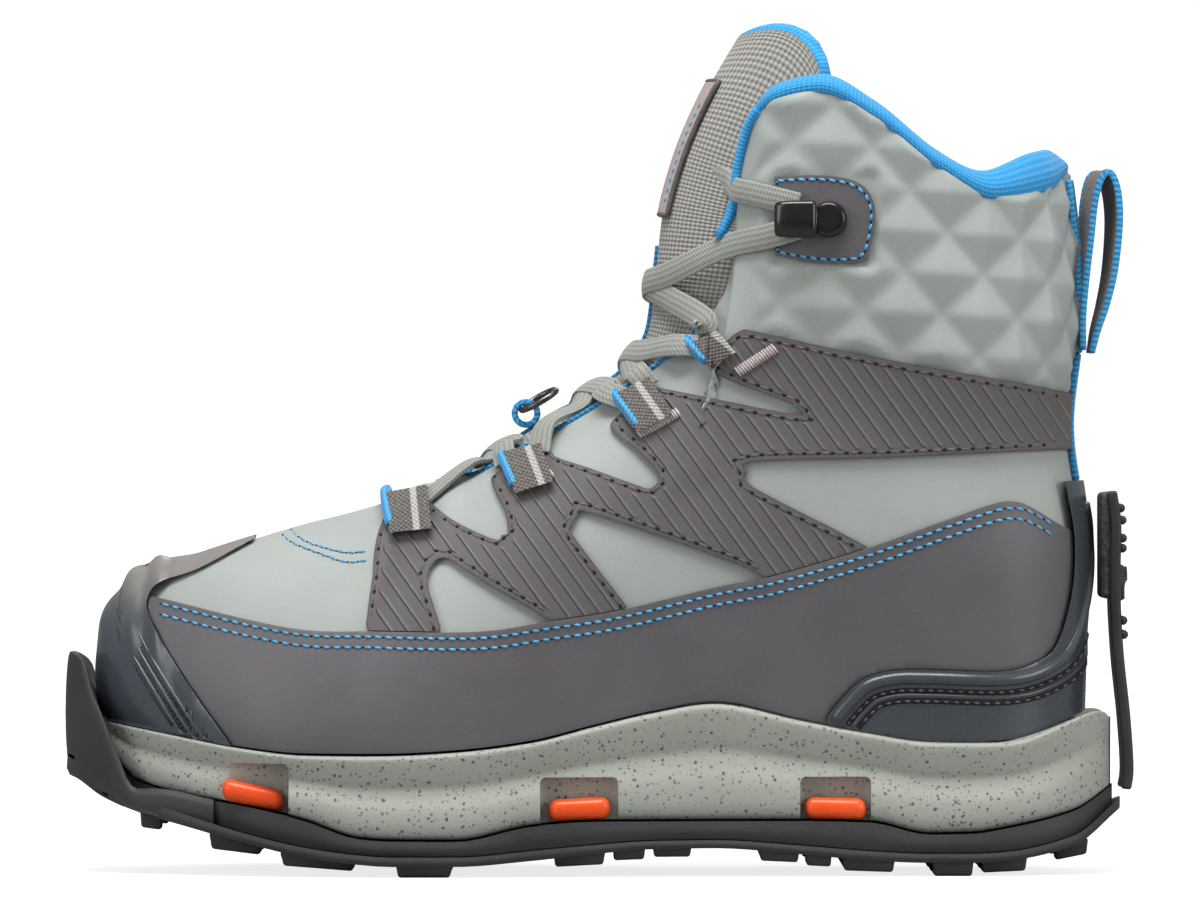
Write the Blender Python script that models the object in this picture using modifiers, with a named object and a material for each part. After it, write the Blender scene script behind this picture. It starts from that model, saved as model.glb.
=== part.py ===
# A left wading boot, toe at -X, outer side at -Y, sole on Z = 0. All sizes are in metres.
from math import cos, pi, radians

import bmesh
import bpy
from mathutils import Matrix, Vector
from mathutils.bvhtree import BVHTree

# Driving sizes.
LENGTH = 0.300  # toe bumper to heel strap
BALL_WIDTH = 0.110  # sole across the ball
HEEL_WIDTH = 0.080  # sole across the heel
COLLAR_HEIGHT = 0.198  # top of the upper's back seam above the floor
INSTEP_HEIGHT = 0.110  # bottom of the throat above the floor
SOLE_HEIGHT = 0.048  # highest point of the midsole's side, at the arch
TOE_SWING = 0.007  # how far the toe turns to the inner side
TONGUE_TOP = 0.2355  # top of the tongue above the floor

# Walls and clearances.
GAP = 0.0003
SEAM = 0.0005  # between overlays that meet edge to edge
SEAT = 0.0009  # between the midsole's wavy top and what stands on it
UPPER_WALL = 0.0022
OVERLAY = 0.0012
MOULDED = 0.0027
LINING = 0.0055
TONGUE_THICK = 0.006
INSOLE_THICK = 0.004
PATCH_THICK = 0.0010
KEEPER_THICK = 0.0018
LACE_WIDTH = 0.007
LACE_THICK = 0.0016
STRAP_WIDTH = 0.024
STRAP_THICK = 0.0032
LOOP_WIDTH = 0.015
LOOP_THICK = 0.0016
STAY_WIDTH = 0.010
BUTTON_RADIUS = 0.0058
BUTTON_THICK = 0.0024
RING_RADIUS = 0.0050
RING_WIRE = 0.0009
CORD_LOOP_RADIUS = 0.0032
CORD_RADIUS = 0.0009
RING_AT = 0.232  # along the tongue
LOCK_LENGTH = 0.0170
LOCK_HEIGHT = 0.0060
LOCK_DEPTH = 0.0070
WINDOW_HEIGHT = 0.0125
LUG_SINK = 0.0012  # how far a lug runs up into the outsole's plate
CENTRE_LUG = 0.018  # width of the lugs along the middle

# How far each layer's edge lies inside the sole's outline.
MIDSOLE_INSET = 0.0015
UPPER_INSET = 0.0060
FOOTBED_INSET = 0.0094

# Ends of each layer along X, as shares of half the length.
OUTSOLE_ENDS = (0.985, -0.975)
CARRIER_ENDS = (0.970, -0.915)
MIDSOLE_ENDS = (0.967, -0.925)
UPPER_ENDS = (0.903, -0.903)
FOOTBED_ENDS = (0.870, -0.868)

# Grid of the upper: ribs on each side, and steps up each rib.
RIBS = 24
RIB_STEPS = 8
SOLE_STATIONS = 23

OUTER, INNER = -1, 1
SIDE_NAMES = {OUTER: "outer", INNER: "inner"}


class Table:
    """Rows of a hand-made table, read between its rows on a smooth curve that never overshoots."""

    def __init__(self, columns, rows):
        self.at = [row[0] for row in rows]
        self.values = {name: [row[i + 1] for row in rows] for i, name in enumerate(columns[1:])}

    def slope(self, values, i):
        if i in (0, len(values) - 1):
            return 0.0
        before = (values[i] - values[i - 1]) / (self.at[i] - self.at[i - 1])
        after = (values[i + 1] - values[i]) / (self.at[i + 1] - self.at[i])
        return 0.0 if before * after <= 0 else 2 * before * after / (before + after)

    def __call__(self, column, at):
        values = self.values[column]
        at = min(max(at, self.at[0]), self.at[-1])
        i = max(k for k in range(len(self.at) - 1) if self.at[k] <= at or k == 0)
        span = self.at[i + 1] - self.at[i]
        t = (at - self.at[i]) / span
        low, high = self.slope(values, i) * span, self.slope(values, i + 1) * span
        a, b = values[i], values[i + 1]
        return a + t * (low + t * (3 * (b - a) - 2 * low - high + t * (2 * (a - b) + low + high)))


# Half widths of the sole: a share of half the heel width, plus a share of half the ball width on each side.
PLAN = Table(
    ("along", "of_heel", "outer", "inner"),
    [
        (0.00, 1.00, 0.00, 0.00),
        (0.14, 1.00, 0.00, 0.00),
        (0.30, 0.75, 0.22, 0.17),
        (0.45, 0.30, 0.60, 0.48),
        (0.60, 0.00, 0.95, 0.88),
        (0.70, 0.00, 1.00, 1.00),
        (0.80, 0.00, 0.97, 1.00),
        (0.90, 0.00, 0.87, 0.93),
        (1.00, 0.00, 0.75, 0.82),
    ],
)
HEEL_ROUND = 0.15
TOE_ROUND = 0.27
ROUND_POWER = 2.2

# Heights of the sole's lines from heel to toe, as shares of the sole height. The tread is where the lugs end.
SOLE = Table(
    ("along", "top", "joint", "parting", "base", "tread"),
    [
        (0.000, 1.040, 0.550, 0.460, 0.400, 0.290),
        (0.010, 1.030, 0.530, 0.430, 0.370, 0.240),
        (0.055, 0.905, 0.370, 0.230, 0.172, 0.105),
        (0.120, 0.773, 0.273, 0.140, 0.088, 0.025),
        (0.150, 0.771, 0.245, 0.130, 0.078, 0.000),
        (0.190, 0.775, 0.240, 0.130, 0.078, 0.000),
        (0.245, 0.825, 0.310, 0.146, 0.092, 0.027),
        (0.310, 0.900, 0.320, 0.180, 0.129, 0.071),
        (0.390, 1.000, 0.320, 0.212, 0.165, 0.121),
        (0.450, 0.942, 0.320, 0.208, 0.160, 0.108),
        (0.500, 0.869, 0.320, 0.188, 0.135, 0.077),
        (0.560, 0.775, 0.292, 0.154, 0.096, 0.033),
        (0.630, 0.720, 0.206, 0.117, 0.063, 0.000),
        (0.690, 0.700, 0.208, 0.117, 0.063, 0.000),
        (0.720, 0.698, 0.221, 0.129, 0.075, 0.025),
        (0.770, 0.700, 0.323, 0.171, 0.117, 0.060),
        (0.830, 0.738, 0.408, 0.256, 0.202, 0.133),
        (0.880, 0.792, 0.458, 0.350, 0.283, 0.208),
        (0.930, 0.848, 0.542, 0.458, 0.367, 0.292),
        (0.960, 0.879, 0.708, 0.573, 0.438, 0.365),
        (1.000, 0.917, 0.792, 0.667, 0.563, 0.500),
    ],
)
# Floor under the insole, as shares of the sole height.
FOOTBED = Table(
    ("along", "floor"),
    [(0.00, 0.68), (0.12, 0.65), (0.35, 0.69), (0.50, 0.65), (0.70, 0.575), (0.85, 0.615), (1.00, 0.76)],
)
# Side profile of the midsole, bottom to top: how far in it lies, as a share of the lip, and the height.
LIP = 0.0026
MIDSOLE_PROFILE = ((0.9, 0.0), (0.25, 0.16), (0.9, 0.56), (0.1, 0.74), (0.0, 0.90), (0.7, 1.0))
SLAB_PROFILE = ((0.35, 0.0), (0.0, 0.45), (0.3, 1.0))

# Ribs of the upper from the heel (0) round to the toe (1). A rib starts on the featherline and ends on the top
# line, at top_x (of half the length), at collar (of the collar height) plus instep (of the instep height), and
# at half_y (of half the heel width). Reach and rise are its handle at the foot, lean and drop the one at the top.
RIB_COLUMNS = ("at", "top_x", "collar", "instep", "half_y", "reach", "rise", "lean", "drop", "waist")
RIB_ROWS = [
    (0.000, 0.881, 1.000, 0.000, 0.00, 0.045, 0.42, 0.215, 0.42, 0.120),
    (0.100, 0.850, 0.977, 0.000, 0.44, 0.050, 0.42, 0.190, 0.42, 0.110),
    (0.200, 0.740, 0.961, 0.000, 0.82, 0.065, 0.42, 0.120, 0.42, 0.085),
    (0.270, 0.635, 1.003, 0.000, 0.93, 0.070, 0.42, 0.090, 0.42, 0.075),
    (0.330, 0.515, 1.074, 0.000, 0.95, 0.070, 0.42, 0.075, 0.45, 0.070),
    (0.380, 0.415, 1.110, 0.000, 0.92, 0.065, 0.42, 0.060, 0.48, 0.065),
    (0.415, 0.330, 1.097, 0.000, 0.84, 0.060, 0.42, 0.060, 0.50, 0.060),
    (0.440, 0.288, 1.062, 0.000, 0.77, 0.055, 0.42, 0.080, 0.50, 0.050),
    (0.465, 0.262, 0.986, 0.000, 0.71, 0.050, 0.41, 0.120, 0.46, 0.035),
    (0.485, 0.245, 0.909, 0.000, 0.68, 0.050, 0.40, 0.170, 0.40, 0.020),
    (0.500, 0.245, 0.832, 0.000, 0.65, 0.050, 0.40, 0.220, 0.34, 0.010),
    (0.515, 0.222, 0.500, 0.518, 0.61, 0.050, 0.40, 0.270, 0.28, 0.000),
    (0.545, 0.113, 0.300, 0.756, 0.56, 0.045, 0.39, 0.340, 0.19, 0.000),
    (0.580, -0.006, 0.150, 0.916, 0.51, 0.045, 0.37, 0.400, 0.13, 0.000),
    (0.610, -0.133, 0.050, 0.997, 0.45, 0.045, 0.35, 0.470, 0.09, 0.000),
    (0.635, -0.243, 0.000, 1.014, 0.34, 0.045, 0.34, 0.560, 0.05, 0.000),
    (0.655, -0.297, 0.000, 0.998, 0.16, 0.045, 0.33, 0.660, 0.02, 0.000),
    (0.670, -0.323, 0.000, 0.994, 0.00, 0.045, 0.32, 0.700, 0.00, 0.000),
    (0.700, -0.405, 0.000, 0.941, 0.00, 0.050, 0.31, 0.720, 0.00, 0.000),
    (0.760, -0.547, 0.000, 0.888, 0.00, 0.065, 0.30, 0.720, 0.00, 0.000),
    (0.820, -0.665, 0.000, 0.838, 0.00, 0.100, 0.27, 0.640, 0.00, 0.000),
    (0.880, -0.735, 0.000, 0.808, 0.00, 0.150, 0.25, 0.520, 0.01, 0.000),
    (0.940, -0.785, 0.000, 0.790, 0.00, 0.200, 0.23, 0.420, 0.02, 0.000),
    (1.000, -0.812, 0.000, 0.780, 0.00, 0.240, 0.22, 0.380, 0.02, 0.000),
]
RIB = Table(RIB_COLUMNS, RIB_ROWS)
WAIST_AT = 0.53
WAIST_SPREAD = 0.17

# Outlines of the overlays in side view, as shares of half the length and of the collar height.
CAP_EDGE = [
    (-0.643, 0.4815),
    (-0.751, 0.437),
    (-0.819, 0.413),
    (-0.842, 0.389),
    (-0.836, 0.362),
    (-0.793, 0.309),
    (-0.669, 0.179),
]
MUDGUARD_EDGE = [
    (-1.000, 0.418),
    (-0.838, 0.393),
    (-0.573, 0.349),
    (-0.412, 0.3445),
    (-0.218, 0.3445),
    (-0.085, 0.359),
    (0.045, 0.3745),
    (0.219, 0.406),
    (0.333, 0.423),
    (0.507, 0.462),
    (0.622, 0.493),
    (0.736, 0.523),
    (0.778, 0.527),
    (0.812, 0.5185),
    (0.895, 0.484),
    (1.000, 0.465),
]
COUNTER_EDGE = [
    (0.429, 0.224),
    (0.461, 0.253),
    (0.497, 0.2775),
    (0.552, 0.289),
    (0.620, 0.290),
    (0.757, 0.2875),
    (0.825, 0.302),
    (0.8625, 0.329),
    (0.890, 0.400),
    (0.895, 0.476),
    (0.880, 0.545),
    (0.885, 0.556),
    (1.000, 0.556),
]
CAGE_EDGE = [
    (-0.369, 0.533),
    (-0.397, 0.503),
    (-0.411, 0.470),
    (-0.416, 0.422),
    (-0.418, 0.330),
    (-0.292, 0.330),
    (-0.311, 0.404),
    (-0.311, 0.427),
    (-0.298, 0.444),
    (-0.277, 0.447),
    (-0.250, 0.434),
    (-0.185, 0.404),
    (-0.085, 0.359),
    (-0.060, 0.330),
    (0.075, 0.345),
    (0.062, 0.374),
    (0.009, 0.427),
    (-0.043, 0.480),
    (-0.047, 0.490),
    (-0.034, 0.506),
    (-0.008, 0.511),
    (0.234, 0.447),
    (0.305, 0.423),
    (0.360, 0.400),
    (0.507, 0.440),
    (0.507, 0.462),
    (0.294, 0.546),
    (0.281, 0.567),
    (0.294, 0.584),
    (0.535, 0.5885),
    (0.889, 0.601),
    (1.000, 0.603),
    (1.000, 0.676),
    (0.889, 0.681),
    (0.795, 0.694),
    (0.622, 0.7155),
    (0.448, 0.741),
    (0.305, 0.765),
    (0.269, 0.768),
    (0.235, 0.747),
    (0.213, 0.724),
    (0.235, 0.7025),
    (0.356, 0.667),
    (0.373, 0.658),
    (0.365, 0.650),
    (0.132, 0.6855),
    (0.100, 0.6855),
    (0.043, 0.650),
    (0.026, 0.634),
    (0.040, 0.621),
    (0.073, 0.601),
    (0.109, 0.574),
    (0.117, 0.5585),
    (0.100, 0.5455),
    (0.073, 0.551),
    (-0.011, 0.574),
    (-0.077, 0.591),
    (-0.095, 0.610),
    (-0.150, 0.595),
    (-0.184, 0.5685),
    (-0.196, 0.5585),
    (-0.184, 0.5355),
    (-0.168, 0.510),
    (-0.164, 0.483),
    (-0.175, 0.480),
    (-0.184, 0.473),
    (-0.228, 0.486),
    (-0.271, 0.503),
    (-0.305, 0.523),
    (-0.330, 0.540),
]
HOOK_PATCH_EDGE = [
    (0.331, 0.975),
    (0.345, 0.984),
    (0.420, 0.986),
    (0.480, 0.978),
    (0.510, 0.958),
    (0.519, 0.925),
    (0.508, 0.880),
    (0.494, 0.864),
    (0.420, 0.862),
    (0.345, 0.872),
    (0.331, 0.884),
]
# Each lace keeper is a quadrilateral on the upper, given by its corners.
KEEPER_EDGES = [
    [(-0.394, 0.540), (-0.316, 0.551), (-0.307, 0.497), (-0.386, 0.491)],
    [(-0.179, 0.597), (-0.104, 0.610), (-0.083, 0.563), (-0.153, 0.547)],
    [(0.030, 0.677), (0.098, 0.704), (0.136, 0.657), (0.072, 0.631)],
    [(0.166, 0.747), (0.224, 0.768), (0.252, 0.742), (0.205, 0.722)],
]
HOOK_AT = (0.436, 0.9235)

# Where the lace comes to each keeper: a rib and a place up it. The top level has its place on the hook instead.
LACE_LEVELS = [(0.640, 0.985), (0.607, 0.985), (0.562, 0.985), (0.524, 0.985), (None, None)]
HOOK_LACE = (0.325, 0.900)
LACE_APART = 0.009  # half the step between the crossings at a keeper
LACE_STACK = 0.55  # how far one strip of a crossing lies above the other
COLLAR_FRONT = 0.487
# Each crossing: its middle along the tongue, half its reach along it, how far out its quarter points lie, and how
# high above the tongue its middle line runs.
LACE_CROSSINGS = [
    (0.150, 0.022, 0.45, 0.0013),
    (0.300, 0.024, 0.45, 0.0020),
    (0.395, 0.022, 0.50, 0.0020),
    (0.540, 0.022, 0.55, 0.0020),
]
LACE_OVER_EDGE = 0.0051
LACE_OVER_PATCH = 0.0026
LACE_TAIL = [(0.330, 0.9500), (0.305, 0.9560), (0.280, 0.9620)]

# Rows of lugs: where each starts and ends along the sole, and whether the middle has one too.
LUGS = [
    (0.041, 0.073, False),
    (0.099, 0.143, True),
    (0.149, 0.188, True),
    (0.222, 0.272, True),
    (0.281, 0.306, False),
    (0.311, 0.349, True),
    (0.411, 0.448, False),
    (0.454, 0.485, True),
    (0.491, 0.540, False),
    (0.6327, 0.6857, True),
    (0.722, 0.793, True),
    (0.810, 0.8597, True),
    (0.905, 0.9257, False),
]
LUG_REACH = 0.42  # of the half width
LUG_DRAFT = 0.90
LUG_EDGE = 0.0008

# Windows of the midsole: middle and half length along X, as shares of half the length.
WINDOWS = [(-0.638, 0.068), (-0.031, 0.0725), (0.445, 0.066)]
WINDOW_DEPTH = 0.0095

# Top of the toe bumper, as shares of half the length along X and of the sole height.
BUMPER = Table(
    ("along", "top"),
    [(-1.000, 1.29), (-0.970, 1.24), (-0.950, 1.06), (-0.925, 0.90), (-0.900, 0.72), (-0.860, 0.50)],
)
BUMPER_TURN = 0.60  # how much of the toe's round it covers
BUMPER_INSETS = (0.0018, 0.0100)

# Front line of the tongue, as shares of half the length and of the tongue's top, with its half width as a share
# of half the heel width, and how far its edges lie behind the line, as a share of that width.
TONGUE = Table(
    ("at", "x", "z", "half", "sag"),
    [
        (0.00, -0.370, 0.405, 0.46, 0.42),
        (0.10, -0.240, 0.476, 0.54, 0.54),
        (0.20, -0.125, 0.527, 0.58, 0.64),
        (0.30, -0.010, 0.571, 0.60, 0.70),
        (0.38, 0.062, 0.607, 0.60, 0.74),
        (0.46, 0.100, 0.652, 0.58, 0.82),
        (0.56, 0.112, 0.715, 0.56, 0.95),
        (0.66, 0.124, 0.783, 0.55, 1.08),
        (0.77, 0.152, 0.852, 0.57, 1.12),
        (0.88, 0.200, 0.925, 0.62, 1.10),
        (1.00, 0.268, 1.000, 0.66, 1.03),
    ],
)
TONGUE_CROWN = 0.0078
TONGUE_STEPS = (13, 8)
PATCH_ON_TONGUE = ((0.66, 0.935), 0.40)

# Collar lining: how far its roll stands above the edge of the upper.
# Its padding and its depth are shares of the values below.
ROLL = Table(
    ("at", "lift", "pad"),
    [
        (0.00, 0.0040, 1.0),
        (0.07, 0.0080, 1.0),
        (0.13, 0.0095, 1.0),
        (0.20, 0.0065, 1.0),
        (0.27, 0.0040, 1.0),
        (0.36, 0.0038, 0.7),
        (0.42, 0.0036, 0.35),
        (0.48, 0.0034, 0.2),
    ],
)
LINING_SLACK = 0.0012  # room between the lining and the wall's facets
LINING_UNDER = 0.0006  # room between the roll and the wall's edge
LINING_END = 0.445
LINING_DEPTH = 0.022

# Side-view routes of the strap and the pull loop, as shares of half the length and of the collar height.
STRAP_ROUTE = [
    (0.985, 0.119),
    (0.9893, 0.150),
    (0.983, 0.222),
    (0.972, 0.300),
    (0.966, 0.370),
    (0.965, 0.430),
    (0.966, 0.495),
    (0.958, 0.540),
]
BUTTON_HEIGHT = 0.411
LOOP_ROUTE = [
    (0.914, 0.742),
    (0.914, 0.790),
    (0.921, 0.850),
    (0.929, 0.900),
    (0.936, 0.950),
    (0.948, 0.985),
    (0.965, 0.994),
    (0.979, 0.970),
    (0.983, 0.925),
    (0.974, 0.857),
    (0.958, 0.806),
    (0.942, 0.771),
    (0.930, 0.738),
]
STAY_SPAN = (0.562, 0.734)

PARTS = None
CUTTERS = None


def shares_to_metres(outline):
    return [(x * LENGTH / 2, z * COLLAR_HEIGHT) for x, z in outline]


def side_point(share):
    return share[0] * LENGTH / 2, share[1] * COLLAR_HEIGHT


def along_sole(x):
    return 0.5 - x / LENGTH


def sole_line(name, x):
    return SOLE(name, along_sole(x)) * SOLE_HEIGHT


def end_round(share):
    if share >= 1:
        return 1.0
    return max(1 - (1 - share) ** ROUND_POWER, 0.0) ** (1 / ROUND_POWER)


def half_width(along, side, inset):
    of_ball = PLAN("outer" if side == OUTER else "inner", along)
    half = PLAN("of_heel", along) * HEEL_WIDTH / 2 + of_ball * BALL_WIDTH / 2 - inset
    return half * end_round(along / HEEL_ROUND) * end_round((1 - along) / TOE_ROUND)


def swing(along):
    t = min(max((along - 0.45) / 0.55, 0.0), 1.0)
    return TOE_SWING * t * t * (3 - 2 * t)


def plan(along, side, ends, inset):
    """A point of a layer's outline, seen from above."""
    heel, toe = ends[0] * LENGTH / 2, ends[1] * LENGTH / 2
    return Vector((heel + (toe - heel) * along, side * half_width(along, side, inset) + swing(along), 0))


def middle_shift():
    """How far the boot's widest points lie off its own line, so that the finished boot can be centred on Y = 0."""
    reach = {side: max(plan(k / 200, side, (1, -1), 0).y * side for k in range(201)) for side in (OUTER, INNER)}
    return (reach[INNER] - reach[OUTER]) / 2


def turn_to_along(turn):
    """Even steps of a turn from 0 (heel) to 1 (toe) crowd the stations where the outline is round."""
    return (1 - cos(pi * turn)) / 2


def outward(turn, side, ends, inset):
    step = 0.004
    before = plan(turn_to_along(max(turn - step, -step)), side, ends, inset)
    after = plan(turn_to_along(min(turn + step, 1 + step)), side, ends, inset)
    if turn < step or turn > 1 - step:
        return Vector((1 if turn < 0.5 else -1, 0, 0))
    tangent = after - before
    return Vector((-tangent.y, tangent.x, 0)).normalized() * -side


def rib_point(turn, side, t):
    """A point of the upper: t runs up the rib from the featherline to the top line."""
    foot = plan(turn_to_along(turn), side, UPPER_ENDS, UPPER_INSET)
    foot.z = sole_line("top", foot.x) + SEAT
    height = RIB("collar", turn) * COLLAR_HEIGHT + RIB("instep", turn) * INSTEP_HEIGHT
    lean_over = swing(along_sole(RIB("top_x", turn) * LENGTH / 2))
    half = HEEL_WIDTH / 2
    top = Vector((RIB("top_x", turn) * LENGTH / 2, side * RIB("half_y", turn) * half + lean_over, height))
    out = outward(turn, side, UPPER_ENDS, UPPER_INSET)
    climb = height - foot.z
    first = foot + out * RIB("reach", turn) * half + Vector((0, 0, RIB("rise", turn) * climb))
    last = top + out * RIB("lean", turn) * half - Vector((0, 0, RIB("drop", turn) * climb))
    s = 1 - t
    point = foot * s**3 + first * 3 * s * s * t + last * 3 * s * t * t + top * t**3
    waist = RIB("waist", turn) * half * 2.718 ** -(((t - WAIST_AT) / WAIST_SPREAD) ** 2)
    return point - out * waist


def rib_normal(turn, side, t):
    """The upper's outward normal, from two short steps over its surface."""
    step = 0.01
    turns = max(turn - step, 0.0), min(turn + step, 1.0)
    steps = max(t - step, 0.0), min(t + step, 1.0)
    round_foot = rib_point(turns[1], side, t) - rib_point(turns[0], side, t)
    up = rib_point(turn, side, steps[1]) - rib_point(turn, side, steps[0])
    if turn == 0:
        round_foot = Vector((0, side, 0))
    return round_foot.cross(up).normalized() * side


def material(name, colour, roughness, metallic=0.0):
    made = bpy.data.materials.new(name)
    made.use_nodes = True
    shader = made.node_tree.nodes["Principled BSDF"]
    shader.inputs["Base Color"].default_value = (*colour, 1)
    shader.inputs["Roughness"].default_value = roughness
    shader.inputs["Metallic"].default_value = metallic
    return made


def add(name, mesh, finish=None):
    """A finished sub-part, or a cutter where it has no finish."""
    obj = bpy.data.objects.new(name, mesh)
    if finish is None:
        CUTTERS.objects.link(obj)
        obj.hide_render = True
        obj.display_type = "WIRE"
        return obj
    PARTS.objects.link(obj)
    mesh.materials.clear()
    mesh.materials.append(finish)
    return obj


def mesh_of(bm, name, outward_faces=True):
    if outward_faces:
        bmesh.ops.recalc_face_normals(bm, faces=bm.faces)
    mesh = bpy.data.meshes.new(name)
    bm.to_mesh(mesh)
    bm.free()
    return mesh


def boolean(obj, operation, other, solver="EXACT"):
    modifier = obj.modifiers.new(operation.title(), "BOOLEAN")
    modifier.operation = operation
    modifier.solver = solver
    modifier.object = other


def solid_from_curve(name, obj):
    """Turns a curve object into a closed mesh in world space."""
    graph = bpy.context.evaluated_depsgraph_get()
    mesh = bpy.data.meshes.new_from_object(obj.evaluated_get(graph))
    matrix = obj.matrix_world.copy()
    bpy.data.objects.remove(obj)
    bm = bmesh.new()
    bm.from_mesh(mesh)
    bmesh.ops.remove_doubles(bm, verts=bm.verts, dist=1e-6)
    bm.transform(matrix)
    return mesh_of(bm, name)


def prism(name, outline, low, high, finish=None):
    """A side-view outline drawn out along Y."""
    curve = bpy.data.curves.new(name, "CURVE")
    curve.dimensions = "2D"
    curve.fill_mode = "BOTH"
    curve.extrude = (high - low) / 2
    spline = curve.splines.new("POLY")
    spline.points.add(len(outline) - 1)
    for point, (x, z) in zip(spline.points, outline):
        point.co = (x, z, 0, 1)
    spline.use_cyclic_u = True
    flat = bpy.data.objects.new(name + "_outline", curve)
    CUTTERS.objects.link(flat)
    flat.matrix_world = Matrix.Translation((0, (low + high) / 2, 0)) @ Matrix.Rotation(radians(90), 4, "X")
    bpy.context.view_layer.update()
    return add(name, solid_from_curve(name, flat), finish)


def grown(outline, gap):
    """The same outline with every corner moved outwards."""
    count = len(outline)
    turned = sum(
        outline[i][0] * outline[(i + 1) % count][1] - outline[(i + 1) % count][0] * outline[i][1]
        for i in range(count)
    )
    sign = 1 if turned > 0 else -1
    points = []
    for i, (x, z) in enumerate(outline):
        before, after = outline[i - 1], outline[(i + 1) % count]
        one = Vector((z - before[1], before[0] - x)).normalized()
        two = Vector((after[1] - z, x - after[0])).normalized()
        out = (one + two).normalized() * sign
        stretch = 1 / max(out.dot(one) * sign, 0.5)
        points.append((x + out.x * gap * stretch, z + out.y * gap * stretch))
    return points


def loft(name, sections, finish=None, closed=False):
    """A solid through rings of equal count. Its ends are capped unless it closes on itself."""
    bm = bmesh.new()
    rings = [[bm.verts.new(point) for point in section] for section in sections]
    count = len(rings[0])
    pairs = list(zip(rings, rings[1:])) + ([(rings[-1], rings[0])] if closed else [])
    for one, two in pairs:
        for i in range(count):
            j = (i + 1) % count
            bm.faces.new((one[i], one[j], two[j], two[i]))
    if not closed:
        bm.faces.new(rings[0])
        bm.faces.new(rings[-1])
    return add(name, mesh_of(bm, name), finish)


def ribbon(name, centres, across, thick, finish, lift=0.0):
    """A flat strap: centres is its middle line, across gives half its width as a vector at each point."""
    bm = bmesh.new()
    left = [bm.verts.new(centre - half) for centre, half in zip(centres, across)]
    right = [bm.verts.new(centre + half) for centre, half in zip(centres, across)]
    for i in range(len(centres) - 1):
        bm.faces.new((left[i], right[i], right[i + 1], left[i + 1]))
    obj = add(name, mesh_of(bm, name, False), finish)
    shell = obj.modifiers.new("Thickness", "SOLIDIFY")
    shell.thickness = thick
    shell.offset = lift
    shell.use_even_offset = True
    return obj


def smooth_route(points, count):
    """Points on one smooth curve through the route's own points."""
    points = [Vector(point) for point in points]
    ends = [2 * points[0] - points[1]] + points + [2 * points[-1] - points[-2]]
    spans = len(points) - 1
    route = []
    for k in range(count + 1):
        place = k / count * spans
        i = min(int(place), spans - 1)
        t = place - i
        a, b, c, d = ends[i : i + 4]
        route.append(
            ((2 * b) + (c - a) * t + (2 * a - 5 * b + 4 * c - d) * t * t + (3 * b - a - 3 * c + d) * t**3) / 2
        )
    return route


def last_grid():
    """The open surface of the upper, as one grid from the toe round the heel and back to the toe."""
    bm = bmesh.new()
    bmesh.ops.create_grid(bm, x_segments=2 * RIBS, y_segments=RIB_STEPS, size=1)
    for vert in bm.verts:
        side = OUTER if vert.co.x < 0 else INNER
        turn = abs(vert.co.x)
        vert.co = rib_point(turn, side, (vert.co.y + 1) / 2)
    bmesh.ops.remove_doubles(bm, verts=bm.verts, dist=1e-5)
    bmesh.ops.triangulate(bm, faces=bm.faces, quad_method="FIXED")
    return bm


def skin(name, near, thick, finish=None):
    """A shell over the upper, from near to near + thick off its surface. A negative thickness goes inwards."""
    bm = last_grid()
    bm.normal_update()
    moves = [vert.normal * near for vert in bm.verts]
    for vert, move in zip(bm.verts, moves):
        vert.co += move
    obj = add(name, mesh_of(bm, name, False), finish)
    shell = obj.modifiers.new("Thickness", "SOLIDIFY")
    shell.thickness = abs(thick)
    shell.offset = 1 if thick > 0 else -1
    return obj


def last_block(name, off):
    """The whole last as one closed block, a cutter for what wraps round it."""
    bm = last_grid()
    bm.normal_update()
    moves = [vert.normal * off for vert in bm.verts]
    for vert, move in zip(bm.verts, moves):
        vert.co += move
    bmesh.ops.holes_fill(bm, edges=[edge for edge in bm.edges if edge.is_boundary], sides=0)
    bmesh.ops.triangulate(bm, faces=[face for face in bm.faces if len(face.verts) > 4])
    return add(name, mesh_of(bm, name))


def cut_from_skin(name, near, thick, keep, finish, drop=(), solver="EXACT"):
    obj = skin(name, near, thick, finish)
    boolean(obj, "INTERSECT", keep, solver)
    for other in drop:
        boolean(obj, "DIFFERENCE", other)
    return obj


def sole_layer(name, ends, inset, low, high, profile, finish=None, lip=LIP):
    """A slab of the sole between two of its lines, with the given side profile."""
    sections = []
    for k in range(SOLE_STATIONS + 1):
        turn = 0.022 + (1 - 0.044) * k / SOLE_STATIONS
        along = turn_to_along(turn)
        ring = []
        for side in (OUTER, INNER):
            edge = plan(along, side, ends, inset)
            centre_y = swing(along)
            steps = profile if side == OUTER else reversed(profile)
            bottom, top = low(edge.x), high(edge.x)
            for depth, share in steps:
                y = edge.y - side * depth * lip
                if (y - centre_y) * side < 0.001:
                    y = centre_y + side * 0.001
                ring.append(Vector((edge.x, y, bottom + share * (top - bottom))))
        sections.append(ring)
    return loft(name, sections, finish)


def box(name, low, high, finish=None, draft=1.0):
    bm = bmesh.new()
    bmesh.ops.create_cube(bm, size=1)
    for vert in bm.verts:
        taper = draft if vert.co.z < 0 else 1.0
        vert.co = Vector(
            (
                (low[0] + high[0]) / 2 + vert.co.x * taper * (high[0] - low[0]),
                (low[1] + high[1]) / 2 + vert.co.y * taper * (high[1] - low[1]),
                (low[2] + high[2]) / 2 + vert.co.z * (high[2] - low[2]),
            )
        )
    return add(name, mesh_of(bm, name), finish)


def sole_edge_y(x, side, ends, inset):
    heel, toe = ends[0] * LENGTH / 2, ends[1] * LENGTH / 2
    return plan((heel - x) / (heel - toe), side, ends, inset).y


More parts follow.
